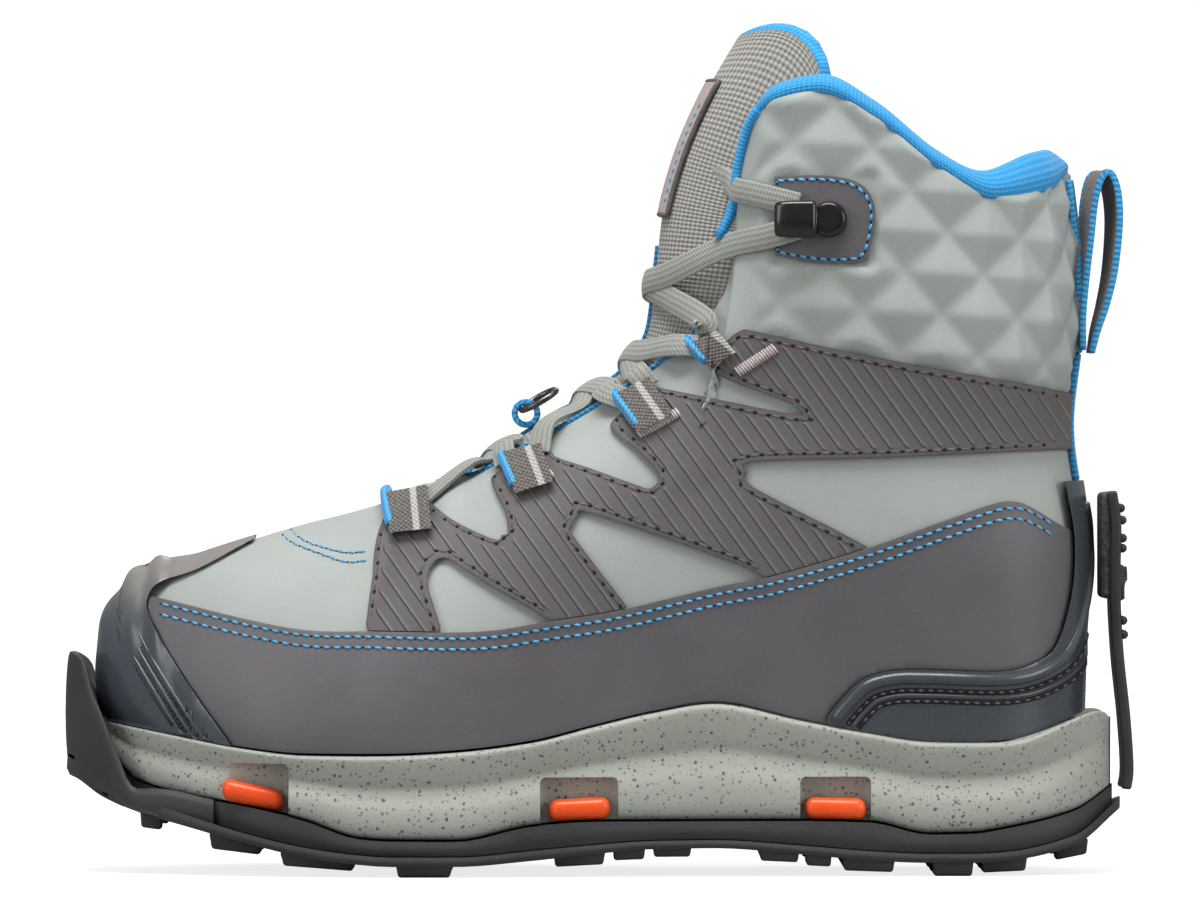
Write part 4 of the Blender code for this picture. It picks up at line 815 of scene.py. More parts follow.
def drawPrism(outline, low, high):
    bm = bmesh.new()
    verts = [bm.verts.new((point[0], low, point[1])) for point in outline]
    for a, b in zip(verts, verts[1:] + verts[:1]):
        bm.edges.new((a, b))
    made = bmesh.ops.extrude_edge_only(bm, edges=bm.edges[:])
    moved = [item for item in made["geom"] if isinstance(item, bmesh.types.BMVert)]
    bmesh.ops.translate(bm, verts=moved, vec=(0, high - low, 0))
    bmesh.ops.holes_fill(bm, edges=[edge for edge in bm.edges if edge.is_boundary], sides=0)
    bmesh.ops.recalc_face_normals(bm, faces=bm.faces)
    bmesh.ops.triangulate(bm, faces=[face for face in bm.faces if len(face.verts) > 4])
    return addPiece("cutter", bm, blackAcetal, None)


def insetsFrom(line, points, closed=False):
    # Distance in side view from each point to the line, in metres.
    line = np.array([tuple(point) for point in line])
    starts, stops = (line, np.roll(line, -1, 0)) if closed else (line[:-1], line[1:])
    points = np.array(points)
    best = np.full(len(points), 1.0)
    for a, b in zip(starts, stops):
        ab = b - a
        t = np.clip(((points - a) @ ab) / max(ab @ ab, 1e-12), 0, 1)
        best = np.minimum(best, np.linalg.norm(points - (a + t[:, None] * ab), axis=1))
    return best


def grow(outline, gap):
    # The closed outline with every corner moved outwards, or inwards where the gap is negative.
    count = len(outline)
    turned = sum(outline[i - 1][0] * outline[i][1] - outline[i][0] * outline[i - 1][1] for i in range(count))
    sign = 1 if turned > 0 else -1
    grown = []
    for i, here in enumerate(outline):
        one, two = here - outline[i - 1], outline[(i + 1) % count] - here
        one = Vector((one.y, -one.x)).normalized()
        two = Vector((two.y, -two.x)).normalized()
        out = (one + two).normalized()
        grown.append(here + out * sign * gap / max(out.dot(one), 0.5))
    return grown


def bandBelow(edge):
    # The edge, closed along the top of the midsole.
    steps = [k / 60 for k in range(61)]
    floor = [Vector(((s - 0.5) * last["length"], 0)) for s in steps]
    floor = [p for p in floor if edge[0][0] < p[0] < edge[-1][0]]
    floor = [Vector((edge[0][0], 0))] + floor + [Vector((edge[-1][0], 0))]
    for p in floor:
        p.y = soleLine("top", p.x) + last["seat"] * 0.3
    return list(edge) + floor[::-1]


def makeOverlay(name, outline, finish, slotName, nodes, size, place, relief=None, edge=None, drops=()):
    # A sheet cut to its side-view outline. Size gives the grid, how far off the last it lies and its thickness.
    bm = lastGrid(size["columns"], size["rows"], place)
    outs = [vert.normal.copy() for vert in bm.verts]
    tip = ribPoint(1.0, outer, 1.0)  # the ribs of the toe all meet here, so the sheet takes its direction from round about
    gaps = [(vert.co - tip).length for vert in bm.verts]
    ring = [out for out, gap in zip(outs, gaps) if 4 * mm < gap < 7 * mm]
    if ring:
        mean = sum(ring, Vector()).normalized()
        outs = [out.lerp(mean, fade(gap, 6 * mm, 3 * mm)).normalized() for out, gap in zip(outs, gaps)]
    for step in range(size.get("even", 0)):
        sums = [sum((outs[edge.other_vert(vert).index] for edge in vert.link_edges), outs[vert.index]) for vert in bm.verts]
        outs = [total.normalized() for total in sums]
    rise = [size["off"] + size["thick"]] * len(outs)
    if relief:
        near = insetsFrom(edge, [(vert.co.x, vert.co.z) for vert in bm.verts])
        rise = [high + relief(vert.co, inset) for high, vert, inset in zip(rise, bm.verts, near)]
    for vert, out, high in zip(bm.verts, outs, rise):
        vert.co += out * high
    obj = addPiece(name, bm, finish, slotName, nodes)
    thicken(obj, size["thick"])
    cutters = [drawPrism(outline, -0.07, 0.07)]
    carve(obj, cutters, "INTERSECT")
    rooms = [drawPrism(room, -0.07, 0.07) for room in drops]
    carve(obj, rooms)
    for cutter in cutters + rooms:
        bpy.data.objects.remove(cutter)
    if size.get("soft"):
        softenEdges(obj, size["soft"])
    smoothSharp(obj)
    layer = obj.data.attributes.new("inset", "FLOAT", "POINT")
    spots = [(vert.co.x, vert.co.z) for vert in obj.data.vertices]
    layer.data.foreach_set("value", insetsFrom(outline, spots, True) / mm)
    return obj


def setCloth(obj, place):
    # Gives a piece its own map in millimetres, for a weave that follows it.
    layer = obj.data.uv_layers.new(name="cloth")
    for loop in obj.data.loops:
        layer.data[loop.index].uv = place(obj.data.vertices[loop.vertex_index].co)


def layStrip(name, centres, outs, width, thick, finish, slotName, nodes=(), crown=0.35, across=6, length=None):
    # A flat strip along a line, with its faces square to the given directions.
    steps = len(centres) - 1
    bm = bmesh.new()
    uv = bm.loops.layers.uv.new("cloth")
    bmesh.ops.create_grid(bm, x_segments=steps, y_segments=across, size=1)
    run = [0.0]
    for a, b in zip(centres, centres[1:]):
        run.append(run[-1] + (b - a).length)
    where = {}
    for vert in bm.verts:
        k = round((vert.co.x + 1) / 2 * steps)
        v = vert.co.y
        ahead = (centres[min(k + 1, steps)] - centres[max(k - 1, 0)]).normalized()
        sideways = outs[k].cross(ahead).normalized()
        out = ahead.cross(sideways).normalized()
        wide = width[k] if isinstance(width, (list, tuple)) else width
        lift = thick / 2 - crown * thick * v * v
        where[vert.index] = (run[k] / mm, v * wide / 2 / mm)
        vert.co = centres[k] + sideways * v * wide / 2 + out * lift
    for face in bm.faces:
        for loop in face.loops:
            loop[uv].uv = where[loop.vert.index]
    obj = addPiece(name, bm, finish, slotName, nodes)
    thicken(obj, thick * (1 - crown * 0.5), apply=False)
    rim = obj.modifiers.new("edge", "BEVEL")
    rim.width, rim.segments, rim.limit_method, rim.angle_limit = thick * 0.3, 2, "ANGLE", radians(50)
    applyModifiers(obj)
    smoothSharp(obj, 60)
    return obj


def layTube(name, line, radius, finish, slotName, nodes=(), around=10, closed=False):
    # A round cord along a line, with the twist's map running along it.
    curve = bpy.data.curves.new(name, "CURVE")
    curve.dimensions = "3D"
    curve.bevel_depth = radius
    curve.bevel_resolution = max(around // 4, 1)
    curve.use_fill_caps = not closed
    spline = curve.splines.new("POLY")
    spline.points.add(len(line) - 1)
    for point, here in zip(spline.points, line):
        point.co = (*here, 1)
    spline.use_cyclic_u = closed
    shape = bpy.data.objects.new(name, curve)
    bpy.context.scene.collection.objects.link(shape)
    bpy.context.view_layer.update()
    made = bpy.data.meshes.new_from_object(shape.evaluated_get(bpy.context.evaluated_depsgraph_get()))
    bpy.data.objects.remove(shape)
    bm = bmesh.new()
    bm.from_mesh(made)
    bpy.data.meshes.remove(made)
    bmesh.ops.remove_doubles(bm, verts=bm.verts, dist=1e-6)
    bmesh.ops.recalc_face_normals(bm, faces=bm.faces)
    tree = [Vector(p) for p in line]
    run = [0.0]
    for a, b in zip(tree, tree[1:]):
        run.append(run[-1] + (b - a).length)
    uv = bm.loops.layers.uv.new("cloth")
    near = {}
    for vert in bm.verts:
        k = min(range(len(tree)), key=lambda i: (tree[i] - vert.co).length_squared)
        ahead = (tree[min(k + 1, len(tree) - 1)] - tree[max(k - 1, 0)]).normalized()
        off = vert.co - tree[k]
        turned = Vector((0, 0, 1)).angle(off, 0) if off.length > 0 else 0
        near[vert.index] = ((run[k] + ahead.dot(off)) / mm, turned * radius / mm)
    for face in bm.faces:
        for loop in face.loops:
            loop[uv].uv = near[loop.vert.index]
    return addPiece(name, bm, finish, slotName, nodes)


lookup = {}


def onUpper(x, z, side):
    # The point of the last's surface at a place of the side view, and the direction out of it.
    start = Vector((x, side * 0.09, z))
    point, normal, _, _ = lookup["tree"].ray_cast(start, Vector((0, -side, 0)))
    if point is None:
        return None, None
    if normal.y * side < 0:
        normal = -normal
    return point, normal


def addStitch(bm, centre, ahead, out, size, slant=0.0, index=0):
    ahead = ahead.normalized()
    sideways = out.cross(ahead).normalized()
    if slant:
        ahead = (ahead + sideways * slant).normalized()
        sideways = out.cross(ahead).normalized()
    turned = Matrix((ahead * size[0] / 2, sideways * size[1] / 2, out * size[2] / 2)).transposed().to_4x4()
    turned.translation = centre
    made = bmesh.ops.create_uvsphere(bm, u_segments=6, v_segments=4, radius=1, matrix=turned)
    for face in {face for vert in made["verts"] for face in vert.link_faces}:
        face.material_index = index


def joinMeshes(name, parts, finish, slotName, nodes=()):
    # One object from many small ones, which stay quick to make.
    whole = bmesh.new()
    for part in parts:
        mesh = bpy.data.meshes.new("part")
        part.to_mesh(mesh)
        part.free()
        whole.from_mesh(mesh)
        bpy.data.meshes.remove(mesh)
    return addPiece(name, whole, finish, slotName, nodes)


def sewRows(name, rows, threads, slotName, size, lift, sides=(outer, inner), keep=None):
    # Lockstitch along side-view lines: a thread over, then a dark blob of painted shade for the hole where it dips.
    parts = []
    for row in rows:
        stops = evenSteps(row, size["pitch"])
        for side in sides:
            found = [onUpper(stop.x, stop.y, side) for stop in stops]
            for k, (a, b) in enumerate(zip(stops, stops[1:])):
                middle = (a + b) / 2
                (one, outOne), (two, outTwo) = found[k : k + 2]
                if keep and not keep(middle.x, middle.y):
                    continue
                if one is None or two is None or (two - one).length > 2.5 * size["pitch"]:
                    continue
                if not k % 24 or not parts:
                    parts.append(bmesh.new())
                out = (outOne + outTwo).normalized()
                rise = lift(middle.x, middle.y) if callable(lift) else lift
                centre = (one + two) / 2 + out * (rise + size["high"] * 0.12)
                long = min((two - one).length, size["pitch"] * 1.6) * size["fill"]
                wide, high, hole = size["wide"], size["high"], size["hole"]
                index = k % (len(threads) - 1)
                addStitch(parts[-1], centre, two - one, out, (long, wide, high), size["slant"] * side, index)
                # the hole: a flat near-black blob, painted shade
                addStitch(parts[-1], one + out * rise, two - one, out, (hole * 1.3, hole * 0.8, hole * 0.5), 0, len(threads) - 1)
    return joinMeshes(name, parts, threads, slotName)


blueStitch = {"pitch": 2.9 * mm, "fill": 0.74, "wide": 0.85 * mm, "high": 0.7 * mm, "slant": 0.16, "hole": 0.75 * mm}
darkStitch = {"pitch": 3.9 * mm, "fill": 0.62, "wide": 0.62 * mm, "high": 0.5 * mm, "slant": 0.10, "hole": 1.25 * mm}

# the upper
quilt = {
    "start": (76.84, 203.3),
    "down": (10.45, -12.0),
    "up": (11.87, 10.6),
    "high": 2.6,
    "front": 43.0,
    "patch": (63.7, 183.0, 14.2, 12.3),
    "turn": 0.33,
}
bandLine = toMetres([(0.305, 0.765), (0.448, 0.741), (0.622, 0.7155), (0.795, 0.694), (0.889, 0.681), (1.0, 0.676)])
mudguardLine = smoothLine(toMetres(mudguardEdge), 6)


def lineHeight(line, x):
    return float(np.interp(x, [point[0] for point in line], [point[1] for point in line]))


@lru_cache(maxsize=None)
def roundBack(side, t):
    # Length over the surface from the quilting's last straight rib to the heel, at one height up the ribs.
    turns = [quilt["turn"] * (1 - k / 40) for k in range(41)]
    line = [ribPoint(turn, side, t) for turn in turns]
    run = [line[0].x]
    for a, b in zip(line, line[1:]):
        run.append(run[-1] + (b - a).to_2d().length)
    return turns[::-1], run[::-1]


def quiltHeight(turn, side, t, point):
    x = point.x
    if turn < quilt["turn"]:
        x = float(np.interp(turn, *roundBack(side, t)))
    x, z = x / mm, point.z / mm
    (ax, az), (bx, bz) = quilt["down"], quilt["up"]
    dx, dz = x - quilt["start"][0], z - quilt["start"][1]
    whole = ax * bz - az * bx
    u, v = (dx * bz - dz * bx) / whole, (ax * dz - az * dx) / whole
    facets = [1 - abs(2 * (share % 1) - 1) for share in (u, v)]
    atX, atZ, halfX, halfZ = quilt["patch"]
    limits = (
        (z - lineHeight(bandLine, point.x) / mm - 0.5) * 0.7,
        (ribPoint(turn, side, 1).z / mm - z) * 0.9,
        (x - quilt["front"]) * 0.3,
        max(abs(x - atX) - halfX, abs(z - atZ) - halfZ) * 0.7,
    )
    return max(min(quilt["high"] * min(facets), *limits), 0) * mm


def makeUpper():
    bm = bmesh.new()
    columns, rows = ((440, 84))
    bmesh.ops.create_grid(bm, x_segments=columns, y_segments=rows, size=1)
    relief = {}
    for vert in bm.verts:
        turn, side = wholeTurn(vert.co.x)
        turn = round(turn * (0.6 + 0.4 * turn), 6)  # finer towards the heel and the collar
        t = (vert.co.y + 1) / 2
        t = round(t * (1.55 - 0.55 * t), 6)
        point = ribPoint(turn, side, t)
        if turn < 0.5 and t > 0.4:
            relief[vert] = quiltHeight(turn, side, t, point)
        vert.co = point
    bm.normal_update()
    for vert, high in relief.items():
        vert.co += vert.normal * high
    bmesh.ops.remove_doubles(bm, verts=bm.verts, dist=1e-6)
    obj = addPiece("upperShell", bm, lightMicrofibre, "light_grey_synthetic", ("upper",))
    thicken(obj, 2.2 * mm)
    smoothSharp(obj, 50)
    return obj


def makeLookup():
    bm = lastGrid(420, 100)
    lookup["tree"] = BVHTree.FromBMesh(bm)
    bm.free()


makeLookup()
makeUpper()
print("upper made")

# overlays
film = {"off": 0.3 * mm, "thick": 1.2 * mm, "soft": 0.3 * mm}
moulded = {"off": 0.1 * mm, "thick": 2.0 * mm, "soft": 0.5 * mm}
capRibs = {"first": -143.5 * mm, "pitch": 7.06 * mm, "high": 1.3 * mm, "rear": -119 * mm}
capEnd = toMetres(capEdge)[-1]
capEnd.y = soleLine("top", capEnd.x) + last["seat"] * 0.3
capLine = smoothLine(toMetres(capEdge)[:-1] + [capEnd], 6)
for point in capLine:  # its tip reaches down onto the vamp
    point.y -= 1.5 * mm * min(max((point.x + 0.124) / (12 * mm), 0.0), 1.0)
capFloor = [Vector((x, soleLine("top", x) + last["seat"] * 0.3)) for x in np.linspace(capEnd.x, -0.15, 20)]
capOutline = capLine + capFloor[1:] + [Vector((-0.165, capLine[0].y * 1.1)), Vector((capLine[0].x * 0.97, capLine[0].y * 1.1))]
counterOutline = bandBelow(smoothLine(toMetres(counterEdge), 6))
mudguardOutline = bandBelow(mudguardLine)
cageOutline = smoothLine(toMetres(cageEdge), 3, closed=True)
patchOutline = smoothLine(toMetres(hookPatchEdge), 4, closed=True)


def capRelief(point, inset):
    # Cross ribs over the toe, soft flutes down its sides and a lip along the rear edge, which thins out over the vamp.
    wave = ((1 + cos(2 * pi * (point.x - capRibs["first"]) / capRibs["pitch"])) / 2) ** 0.8
    off = abs(point.y + middleShift)
    lies = fade(off, 34 * mm, 22 * mm) * fade(point.z, 56 * mm, 70 * mm)
    lies *= fade(point.x, capRibs["rear"], capRibs["rear"] - 2 * mm) * fade(point.x, -150 * mm, -147 * mm)
    lies *= 1 - fade(inset, 11.5 * mm, 9 * mm) * fade(off, 16 * mm, 22 * mm)
    flutes = (1 + cos(2 * pi * (point.x * 0.8 - point.z * 0.35) / (15 * mm))) / 2
    flutes *= fade(off, 16 * mm, 28 * mm) * fade(inset, 11 * mm, 15 * mm) * fade(point.z, 45 * mm, 55 * mm)
    beside = fade(off, 20 * mm, 27 * mm)
    lip = 0.6 * mm * fade(inset, 2.6 * mm, 1.9 * mm) * beside
    thin = 0.9 * mm * (1 - beside) * fade(point.x, -122 * mm, -112 * mm)
    return capRibs["high"] * wave * lies + 0.6 * mm * flutes + lip - thin


def counterRelief(point, inset):
    return 0.5 * mm * fade(inset, 5.5 * mm, 2.5 * mm)


def makeOverlays():
    toe = dict(moulded, columns=240, rows=110, even=12)
    makeOverlay("toeCap", capOutline, scuffedAndToplitUrethane, "moulded_urethane", ("toe_cap",), toe, toeTurn, capRelief, capLine)
    heel = dict(moulded, columns=240, rows=150, thick=2.4 * mm)
    makeOverlay(
        "heelCounter",
        counterOutline,
        mouldedUrethane,
        "moulded_urethane",
        ("heel_counter",),
        heel,
        heelTurn,
        counterRelief,
        smoothLine(toMetres(counterEdge), 6),
    )
    rooms = [grow(capOutline, 0.4 * mm), grow(counterOutline, 0.4 * mm)]
    band = dict(film, columns=360, rows=60)
    nodes = ("mudguard_outer", "mudguard_inner")
    makeOverlay("mudguard", mudguardOutline, darkMicrofibre, "smooth_grey_synthetic", nodes, band, wholeTurn, drops=rooms)
    cage = dict(film, columns=400, rows=90)
    nodes = ("lace_cage_outer", "lace_cage_inner")
    room = [grow(mudguardOutline, 0.3 * mm)]
    makeOverlay("laceCages", cageOutline, ribbedFilm, "matt_grey_overlay", nodes, cage, wholeTurn, drops=room)
    patch = dict(film, columns=300, rows=120, thick=1.0 * mm)
    nodes = ("hook_patch_outer", "hook_patch_inner")
    makeOverlay("hookPatches", patchOutline, darkMicrofibre, "matt_grey_overlay", nodes, patch, wholeTurn)


makeOverlays()
print("overlays made")


webbing = {"columns": 360, "rows": 120, "off": 2.7 * mm, "thick": 1.5 * mm, "soft": 0.35 * mm}
bars = [[(394, 534), (430, 521)], [(518, 493), (554, 477)], [(640, 437), (678, 415)], [(737, 373), (773, 350)]]


def makeTack(name, ends):
    # A bar tack: close zigzag thread.
    parts = []
    one, two = (photoPoint(*end) for end in ends)
    steps = 15
    for side in (outer, inner):
        parts.append(bmesh.new())
        for k in range(steps + 1):
            place = one.lerp(two, k / steps)
            point, out = onUpper(place.x, place.y, side)
            ahead, out2 = onUpper(place.x + 1 * mm, place.y + (two.y - one.y) / (two.x - one.x) * mm, side)
            run = (ahead - point).normalized()
            across = out.cross(run).normalized()
            addStitch(parts[-1], point + out * 2.0 * mm, across, out, (3.6 * mm, 0.95 * mm, 1.3 * mm), 0.12)
    return joinMeshes(name, parts, tackThread, "grey_webbing")


def makeKeepers():
    # Webbing tabs with a blue braid along the front edge, a white stripe and a bar tack behind.
    for number, corners in enumerate(keeperEdges, 1):
        left, top, right, bottom = toMetres(corners)
        ahead, across = (bottom - left).normalized(), (top - left)
        outline = [left, top, right + ahead * 1.5 * mm, bottom + ahead * 1.5 * mm]
        nodes = (f"lace_keeper_outer_{number}", f"lace_keeper_inner_{number}")
        obj = makeOverlay(f"laceKeepers{number}", outline, stripedWebbing, "grey_webbing", nodes, webbing, wholeTurn)
        turned = Vector((-ahead.y, ahead.x))
        if turned.dot(across) < 0:
            turned = -turned
        setCloth(
            obj,
            lambda co: (
                ((co.x - left.x) * turned.x + (co.z - left.y) * turned.y) / mm,
                ((co.x - left.x) * ahead.x + (co.z - left.y) * ahead.y) / mm,
            ),
        )
        for side, word in ((outer, "Outer"), (inner, "Inner")):
            places = [left - ahead * 1.0 * mm + (bottom - left + ahead * 2.5 * mm) * k / 8 for k in range(9)]
            places = [place + turned * 0.9 * mm for place in places]
            found = [onUpper(place.x, place.y, side) for place in places]
            found = [item for item in found if item[0] is not None]
            centres = [point + out * (3.4 * mm) for point, out in found]
            layStrip(
                f"keeperEdge{word}{number}",
                centres,
                [out for _, out in found],
                3.7 * mm,
                1.9 * mm,
                blueBraid,
                "blue_knit",
                crown=0.5,
            )
        makeTack(f"barTack{number}", bars[number - 1])


makeKeepers()
print("keepers made")

# the sole
midsoleProfile = [(1.0, 0.0), (0.35, 0.05), (0.05, 0.16), (0.15, 0.34), (0.75, 0.50), (1.05, 0.60), (0.75, 0.68), (0.35, 0.80), (0.05, 0.93), (0.15, 0.98), (0.7, 1.0)]
slabProfile = [(0.35, 0.0), (0.0, 0.45), (0.3, 1.0)]


def soleRow(layer, low, high, profile, lip, steps=4):
    # Rows of a sole layer's side, bottom to top: how far in each lies and how high.
    rows = []
    for depth, share in smoothLine(profile, steps) if steps else profile:
        rows.append((layer, insets[layer] + depth * lip, lambda x, s=share: low(x) + s * (high(x) - low(x))))
    return rows


def makeSoleBand(name, rows, finish, slotName, nodes, columns=220):
    # Each row runs round the plan, and the first and the last one close on the middle line.
    layer, _, low = rows[0]
    bottom = [(layer, None, low)]
    layer, _, high = rows[-1]
    rows = bottom + rows + [(layer, None, high)]
    bm = bmesh.new()
    bmesh.ops.create_grid(bm, x_segments=columns, y_segments=len(rows) - 1, size=1)
    for vert in bm.verts:
        turn, side = wholeTurn(vert.co.x)
        layer, inset, height = rows[round((vert.co.y + 1) / 2 * (len(rows) - 1))]
        point = planPoint(turnToAlong(turn), side, layer, inset or 0)
        if inset is None or (point.y - middleLine(turnToAlong(turn))) * side < 0.1 * mm:
            point.y = middleLine(turnToAlong(turn))
        point.z = height(point.x)
        vert.co = point
    bmesh.ops.remove_doubles(bm, verts=bm.verts, dist=1e-5)
    bmesh.ops.recalc_face_normals(bm, faces=bm.faces)
    return addPiece(name, bm, finish, slotName, nodes)


def soleHeight(line, extra=0.0):
    return lambda x: soleLine(line, x) + extra


def footbedHeight(extra):
    return lambda x: readTable("footbed", alongSole(x))[0] * last["soleHeight"] + extra


def edgeY(x, side, layer, inset=None):
    heel, toe = (end * last["length"] / 2 for end in ends[layer])
    return planPoint((heel - x) / (heel - toe), side, layer, inset).y


def makeBlock(bm, centre, size, soft, slope=0.0, draft=1.0, segments=2):
    made = bmesh.ops.create_cube(bm, size=1)
    for vert in made["verts"]:
        taper = draft if vert.co.z < 0 else 1.0
        vert.co.x *= size[0] * taper
        vert.co.y *= size[1] * taper
        vert.co.z *= size[2]
        vert.co.z += slope * vert.co.x
        vert.co += Vector(centre)
    edges = {edge for vert in made["verts"] for edge in vert.link_edges}
    bmesh.ops.bevel(bm, geom=list(edges), offset=soft, affect="EDGES", segments=segments, profile=0.5, material=-1)


windows = [(-0.638, 0.068), (-0.031, 0.0725), (0.445, 0.066)]
windowSize = {"depth": 5.8 * mm, "height": 12.5 * mm, "soft": 1.6 * mm}
lock = {"long": 17.0 * mm, "high": 6.0 * mm, "deep": 7.0 * mm}
lugs = [
    (0.041, 0.073, False),
    (0.099, 0.143, True),
    (0.149, 0.188, True),
    (0.222, 0.272, True),
    (0.281, 0.306, False),
    (0.311, 0.349, True),
    (0.411, 0.448, False),
    (0.454, 0.485, True),
    (0.491, 0.540, False),
    (0.6327, 0.6857, True),
    (0.722, 0.793, True),
    (0.810, 0.8597, True),
    (0.905, 0.9257, False),
]
lugSize = {"reach": 0.42, "draft": 0.90, "edge": 0.8 * mm, "sink": 1.2 * mm, "centre": 18 * mm, "soft": 0.7 * mm}


def roundedTop(x):
    # The top of the band, turned down at the heel.
    past = min(max((x - 0.1350) / 0.0095, 0.0), 0.98)
    return soleLine("top", x) - 6.5 * mm * (1 - (1 - past * past) ** 0.5)


def makeMidsole():
    rows = soleRow("midsole", soleHeight("joint", 0.6 * mm), roundedTop, midsoleProfile, 2.6 * mm)
    rows += [("footbed", insets["footbed"] - 0.5 * mm, soleHeight("top", 0.1 * mm))]
    rows += [("footbed", insets["footbed"], footbedHeight(0))]
    obj = makeSoleBand("midsoleFoam", rows, speckledFoam, "speckled_foam", ("midsole",), 300)
    bm = bmesh.new()
    for middle, half in windows:
        x, reachX = middle * last["length"] / 2, half * last["length"]
        low = soleLine("joint", x)
        for side in (outer, inner):
            edge = edgeY(x, side, "midsole")
            size = (reachX, 2 * windowSize["depth"], 2 * windowSize["height"])
            makeBlock(bm, (x, edge, low), size, windowSize["soft"], segments=3)
    cutter = addPiece("cutter", bm, speckledFoam, None)
    carve(obj, [cutter])
    bpy.data.objects.remove(cutter)
    softenEdges(obj, 0.5 * mm, 2, 50)
    smoothSharp(obj, 50)


def makeLocks():
    number = 0
    for middle, _ in windows:
        number += 1
        x = middle * last["length"] / 2
        slope = (soleLine("joint", x + 5 * mm) - soleLine("joint", x - 5 * mm)) / (10 * mm)
        for side, word in ((outer, "outer"), (inner, "inner")):
            bm = bmesh.new()
            y = edgeY(x, side, "midsole") - side * (lock["deep"] / 2 + 0.3 * mm)
            z = soleLine("joint", x) + 0.6 * mm + lock["high"] / 2
            makeBlock(bm, (x, y, z), (lock["long"], lock["deep"], lock["high"]), 2.6 * mm, slope, segments=5)
            addPiece(f"soleLock{word.title()}{number}", bm, orangeNylon, "orange_lock", (f"sole_lock_{word}_{number}",))


def makeCarrier():
    rows = soleRow("carrier", soleHeight("parting", 0.3 * mm), soleHeight("joint"), slabProfile, 1.8 * mm)
    obj = makeSoleBand("soleCarrier", rows, mouldedRubber, "black_rubber", ("sole_carrier",))
    smoothSharp(obj, 50)


bumper = {"turn": 0.248, "columns": 72, "wide": 4.2 * mm, "deep": 11 * mm}


def bumperRing(share):
    # Section of the toe bumper, from the tread up its face, over a round top and down inside the toe cap.
    side = outer if share > 0 else inner
    along = turnToAlong(1 - abs(share) * bumper["turn"])

    def place(inset, z, pull=0.0):
        half = last["length"] / 2
        inset += 5.2 * mm * fade(abs(share), 0.60, 0.97)
        y = side * halfWidth(along, side, max(inset, 0)) + middleLine(along)
        return Vector((half - 2 * half * along + max(pull, inset) * max(0, 1 - abs(share) * 1.4), y, z))

    x = place(0, 0).x
    low = soleLine("base", x)
    top = max(readTable("bumper", x / (last["length"] / 2))[0] * last["soleHeight"], low + 6 * mm)
    tail = fade(abs(share), 0.70, 1.0)
    top += (soleLine("joint", x) + 0.4 * mm - top) * tail
    low += 1.0 * mm * tail
    high, wide, deep = top - low, bumper["wide"], bumper["deep"]
    points = [
        place(deep, low),
        place(1.2 * mm, low),
        place(0.5 * mm, low + 0.14 * high),
        place(0, low + 0.36 * high),
        place(0, low + 0.62 * high),
        place(0.3 * mm, low + 0.82 * high),
        place(0.9 * mm, top - 1.0 * mm),
        place(wide * 0.45, top),
        place(wide * 0.8, top - 0.8 * mm),
        place(wide, top - 2.6 * mm),
        place(deep, top - 0.45 * high),
    ]
    return smoothLine(points, 2)


def cutBumperSlits(obj):
    # Short slits across the bumper's face, as on the photo.
    bm = bmesh.new()
    for px, py, long in ((66, 690, 7), (67, 722, 8), (76, 757, 9), (104, 790, 10), (135, 808, 10)):
        spot = photoPoint(px, py)
        for side in (outer, inner):
            share = min(max((spot.x + 0.15) / 0.045, 0.0), 1.0) ** 0.5
            y = edgeY(spot.x + 2 * mm, side, "outsole") * (0.55 if share < 0.3 else 1.0)
            makeBlock(bm, (spot.x, y, spot.y), (long * 0.45 * mm, 12 * mm, 1.0 * mm), 0.3 * mm, slope=-0.35, segments=1)
    cutter = addPiece("cutter", bm, mouldedRubber, None)
    carve(obj, [cutter])
    bpy.data.objects.remove(cutter)


def makeOutsole():
    rows = soleRow("outsole", soleHeight("base"), soleHeight("parting"), slabProfile, 1.4 * mm)
    obj = makeSoleBand("outsoleRubber", rows, mouldedRubber, "black_rubber", ("outsole",))
    smoothSharp(obj, 50)
    columns = bumper["columns"]
    rings = [bumperRing(2 * k / columns - 1) for k in range(columns + 1)]
    around = len(rings[0])
    bm = bmesh.new()
    bmesh.ops.create_grid(bm, x_segments=columns, y_segments=around, size=1)
    for vert in bm.verts:
        ring = rings[round((vert.co.x + 1) / 2 * columns)]
        vert.co = ring[round((vert.co.y + 1) / 2 * around) % around]
    bmesh.ops.remove_doubles(bm, verts=bm.verts, dist=1e-6)
    bmesh.ops.holes_fill(bm, edges=[edge for edge in bm.edges if edge.is_boundary], sides=0)
    bmesh.ops.recalc_face_normals(bm, faces=bm.faces)
    front = addPiece("toeBumper", bm, mouldedRubber, "black_rubber")
    cutBumperSlits(front)
    smoothSharp(front, 50)
    bm = bmesh.new()
    for rear, front, middleToo in lugs:
        xs = (0.5 - front) * last["length"], (0.5 - rear) * last["length"]
        x = sum(xs) / 2
        bottom = readTable("sole", (rear + front) / 2)[4] * last["soleHeight"]
        spans = []
        for side in (outer, inner):
            edge = min(edgeY(end, side, "outsole") * side for end in xs) - lugSize["edge"]
            spans.append(sorted((side * edge, side * edge * (1 - lugSize["reach"]))))
        if middleToo:
            middle = middleLine(alongSole(x))
            spans.append((middle - lugSize["centre"] / 2, middle + lugSize["centre"] / 2))
        top = soleLine("base", x) + lugSize["sink"]
        slope = (soleLine("base", xs[1]) - soleLine("base", xs[0])) / (xs[1] - xs[0])
        for low, high in spans:
            size = (xs[1] - xs[0], high - low, top - bottom)
            makeBlock(bm, (x, (low + high) / 2, (top + bottom) / 2), size, lugSize["soft"], slope * 0.5, lugSize["draft"])
    treads = addPiece("outsoleLugs", bm, mouldedRubber, "black_rubber")
    smoothSharp(treads, 50)


